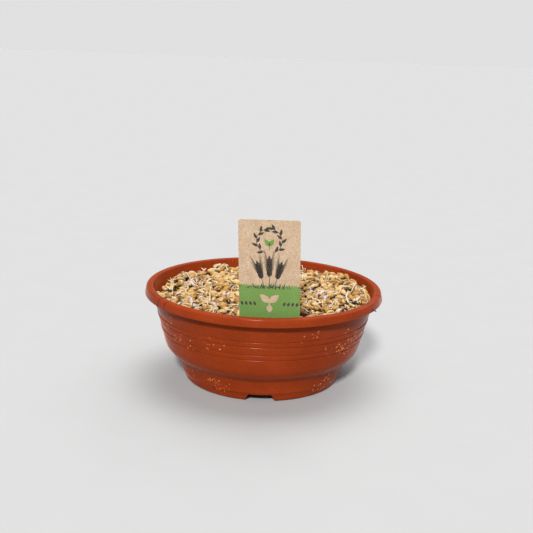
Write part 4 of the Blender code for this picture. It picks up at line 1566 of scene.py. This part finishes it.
def pale_floor(settings):
    """Studio paper, matt and seamless."""
    material, tree, shader = new_material("studio_paper_matt", Roughness=1.0, Specular_IOR_Level=0.0)
    place = add_node(tree, "TexCoord", {}, "Object")
    mottle = add_node(tree, "TexNoise", {"Vector": place, "Scale": 1 / (40 * MM), "Detail": 3})
    dress(tree, shader, tinted(tree, settings.floor, (mottle, 0, 1, 1, "#9E9E9E")))
    return material


def add_floor(settings):
    bm = bmesh.new()
    bmesh.ops.create_circle(bm, cap_ends=True, segments=96, radius=40)
    floor = helper_object("studio_floor", mesh_from_bm("studio_floor", bm))
    floor.data.materials.append(pale_floor(settings))


def light_world():
    """A soft sky: as pale as the floor at the horizon, dimmer above it and brighter overhead."""
    world = bpy.data.worlds.new("studio_light")
    bpy.context.scene.world = world
    world.use_nodes = True
    tree = world.node_tree
    direction = add_node(tree, "TexCoord", {}, "Generated")
    height = add_node(tree, "SeparateXYZ", {"Vector": direction}, "Z")
    sky = (0.75, 0.75, 0.75, 1)
    for start, full, grey in ((0.08, 0.17, 0.36), (0.17, 0.27, 0.16), (0.27, 0.6, 0.2), (0.6, 1.0, 0.6)):
        sky = tinted(tree, sky, (height, start, full, 1, (grey, grey, grey, 1)))
    tree.links.new(sky, tree.nodes["Background"].inputs["Color"])
    bpy.context.scene.view_settings.view_transform = "Standard"


def add_light(name, azimuth, elevation, strength, softness):
    """A distant soft light. It is as strong all over the floor, which therefore stays even."""
    light = bpy.data.lights.new(name, "SUN")
    light.energy = strength
    light.angle = math.radians(softness)
    lamp = helper_object(name, light)
    toward = Vector((*on_circle(azimuth, 1), math.tan(math.radians(elevation))))
    lamp.rotation_euler = toward.to_track_quat("Z", "Y").to_euler()


class SCENE_OT_cat_grass_bowl(Operator):
    """Turns the terracotta bowl, cuts its notches and holes and scores its rim"""

    bl_idname = "scene.cat_grass_bowl"
    bl_label = "Bowl"

    def execute(self, context):
        settings = context.scene.cat_grass_bowl
        place_piece("bowl", bowl_mesh(settings), terracotta_plastic(settings), ["pot"])
        place_piece("droplets", droplets_mesh(settings), water_on_plastic())
        return {"FINISHED"}


class SCENE_OT_cat_grass_peat(Operator):
    """Fills the bowl with peat and scatters its crumbs"""

    bl_idname = "scene.cat_grass_peat"
    bl_label = "Peat"

    def execute(self, context):
        material = moist_peat(context.scene.cat_grass_bed)
        place_piece("peat_filling", peat_mesh(), material, ["soil"])
        place_piece("peat_crumbs", peat_crumbs_mesh(), material)
        # Dark tubes in the peat's colour lie in the scored lines as painted shade
        lines = rim_lines(context.scene.cat_grass_bowl, LINE_SHADE_RADIUS)
        place_piece("painted_line_shade", mesh_from_bm("painted_line_shade", lines), material)
        return {"FINISHED"}


class SCENE_OT_cat_grass_grains(Operator):
    """Lays the heap of soaked wheat grains"""

    bl_idname = "scene.cat_grass_grains"
    bl_label = "Grains"

    def execute(self, context):
        material = soaked_wheat(context.scene.cat_grass_bed)
        heap = laid_heap()
        shown = heap.shown()
        draw = np.random.default_rng(71)
        fine, coarse = grain_form(FINE_ANGLES, 9), grain_form(COARSE_ANGLES, 5)
        bare = np.flatnonzero(shown > DRAWN_FINE)
        left = bare[heap.centres[bare, 0] < 0]
        right = bare[heap.centres[bare, 0] >= 0]
        buried = np.flatnonzero(shown <= DRAWN_FINE)
        for name, chosen, form in (
            ("grains_left", left, fine),
            ("grains_right", right, fine),
            ("grains_below", buried, coarse),
        ):
            mesh = grains_mesh(name, heap, chosen, form, draw)
            place_piece(name, mesh, material, ["grain_bed"])
        return {"FINISHED"}


class SCENE_OT_cat_grass_sprouts(Operator):
    """Grows the rootlets, their hairs and the shoots"""

    bl_idname = "scene.cat_grass_sprouts"
    bl_label = "Roots and shoots"

    def execute(self, context):
        settings = context.scene.cat_grass_bed
        place_piece("rootlets", rootlets_mesh(), rootlet_skin(settings), ["grain_bed"])
        down = root_down(settings)
        place_piece("felt_sleeves", felt_sleeves_mesh(), down, ["grain_bed"])
        place_piece("root_hairs", root_hairs_mesh(), down, ["grain_bed"])
        place_piece("shoots", shoots_mesh(), shoot_skin(settings), ["grain_bed"])
        return {"FINISHED"}


class SCENE_OT_cat_grass_label(Operator):
    """Finishes the card label and prints it"""

    bl_idname = "scene.cat_grass_label"
    bl_label = "Label"

    def execute(self, context):
        settings = context.scene.cat_grass_label
        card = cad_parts["label"]
        card.data.materials.clear()
        card.data.materials.append(kraft_card(settings))
        prints = (
            ("print_green", green_shapes(), printed_ink("offset_ink_green", settings.green, 0.3, "#4C6E2D")),
            ("print_bare", kraft_shapes(), kraft_card(settings, "kraft_board_left_bare")),
            ("print_ink", ink_shapes(), printed_ink("offset_ink_dark", settings.ink, 0.25, "#3C352C")),
        )
        for level, (name, shapes, material) in enumerate(prints):
            mesh = print_mesh(name, shapes, level * PRINT_THICKNESS)
            place_piece(name, mesh, material, matrix=label_matrix())
        return {"FINISHED"}


class SCENE_OT_cat_grass_studio(Operator):
    """Sets the pale floor, the soft light and the camera"""

    bl_idname = "scene.cat_grass_studio"
    bl_label = "Studio"

    def execute(self, context):
        settings = context.scene.cat_grass_studio
        add_floor(settings)
        light_world()
        add_light("key_light", azimuth=-97, elevation=36, strength=4.85, softness=8)
        add_light("top_light", azimuth=80, elevation=80, strength=2.1, softness=40)
        add_light("back_light", azimuth=62, elevation=52, strength=1.1, softness=60)
        aim_camera(settings)
        return {"FINISHED"}


class VIEW3D_PT_cat_grass(Panel):
    """Lists the steps that dress the bowl"""

    bl_label = "Potted cat grass"
    bl_idname = "VIEW3D_PT_cat_grass"
    bl_space_type = "VIEW_3D"
    bl_region_type = "UI"
    bl_category = "Cat grass"

    def draw(self, context):
        for operator, settings in STEPS:
            box = self.layout.box()
            box.operator(operator.bl_idname)
            group = getattr(context.scene, settings)
            for name in group.bl_rna.properties.keys():
                if name not in ("rna_type", "name"):
                    box.prop(group, name)


STEPS = (
    (SCENE_OT_cat_grass_bowl, "cat_grass_bowl"),
    (SCENE_OT_cat_grass_peat, "cat_grass_bed"),
    (SCENE_OT_cat_grass_grains, "cat_grass_bed"),
    (SCENE_OT_cat_grass_sprouts, "cat_grass_bed"),
    (SCENE_OT_cat_grass_label, "cat_grass_label"),
    (SCENE_OT_cat_grass_studio, "cat_grass_studio"),
)
SETTINGS = {
    "cat_grass_bowl": BowlSettings,
    "cat_grass_bed": BedSettings,
    "cat_grass_label": LabelSettings,
    "cat_grass_studio": StudioSettings,
}
CLASSES = (*SETTINGS.values(), *(step for step, _ in STEPS), VIEW3D_PT_cat_grass)


def register():
    for each in CLASSES:
        bpy.utils.register_class(each)
    for name, group in SETTINGS.items():
        setattr(bpy.types.Scene, name, PointerProperty(type=group))


def unregister():
    for name in SETTINGS:
        delattr(bpy.types.Scene, name)
    for each in reversed(CLASSES):
        bpy.utils.unregister_class(each)


def main():
    register()
    bpy.ops.scene.cat_grass_bowl()
    bpy.ops.scene.cat_grass_peat()
    bpy.ops.scene.cat_grass_grains()
    bpy.ops.scene.cat_grass_sprouts()
    bpy.ops.scene.cat_grass_label()
    bpy.ops.scene.cat_grass_studio()


if __name__ == "__main__":
    main()
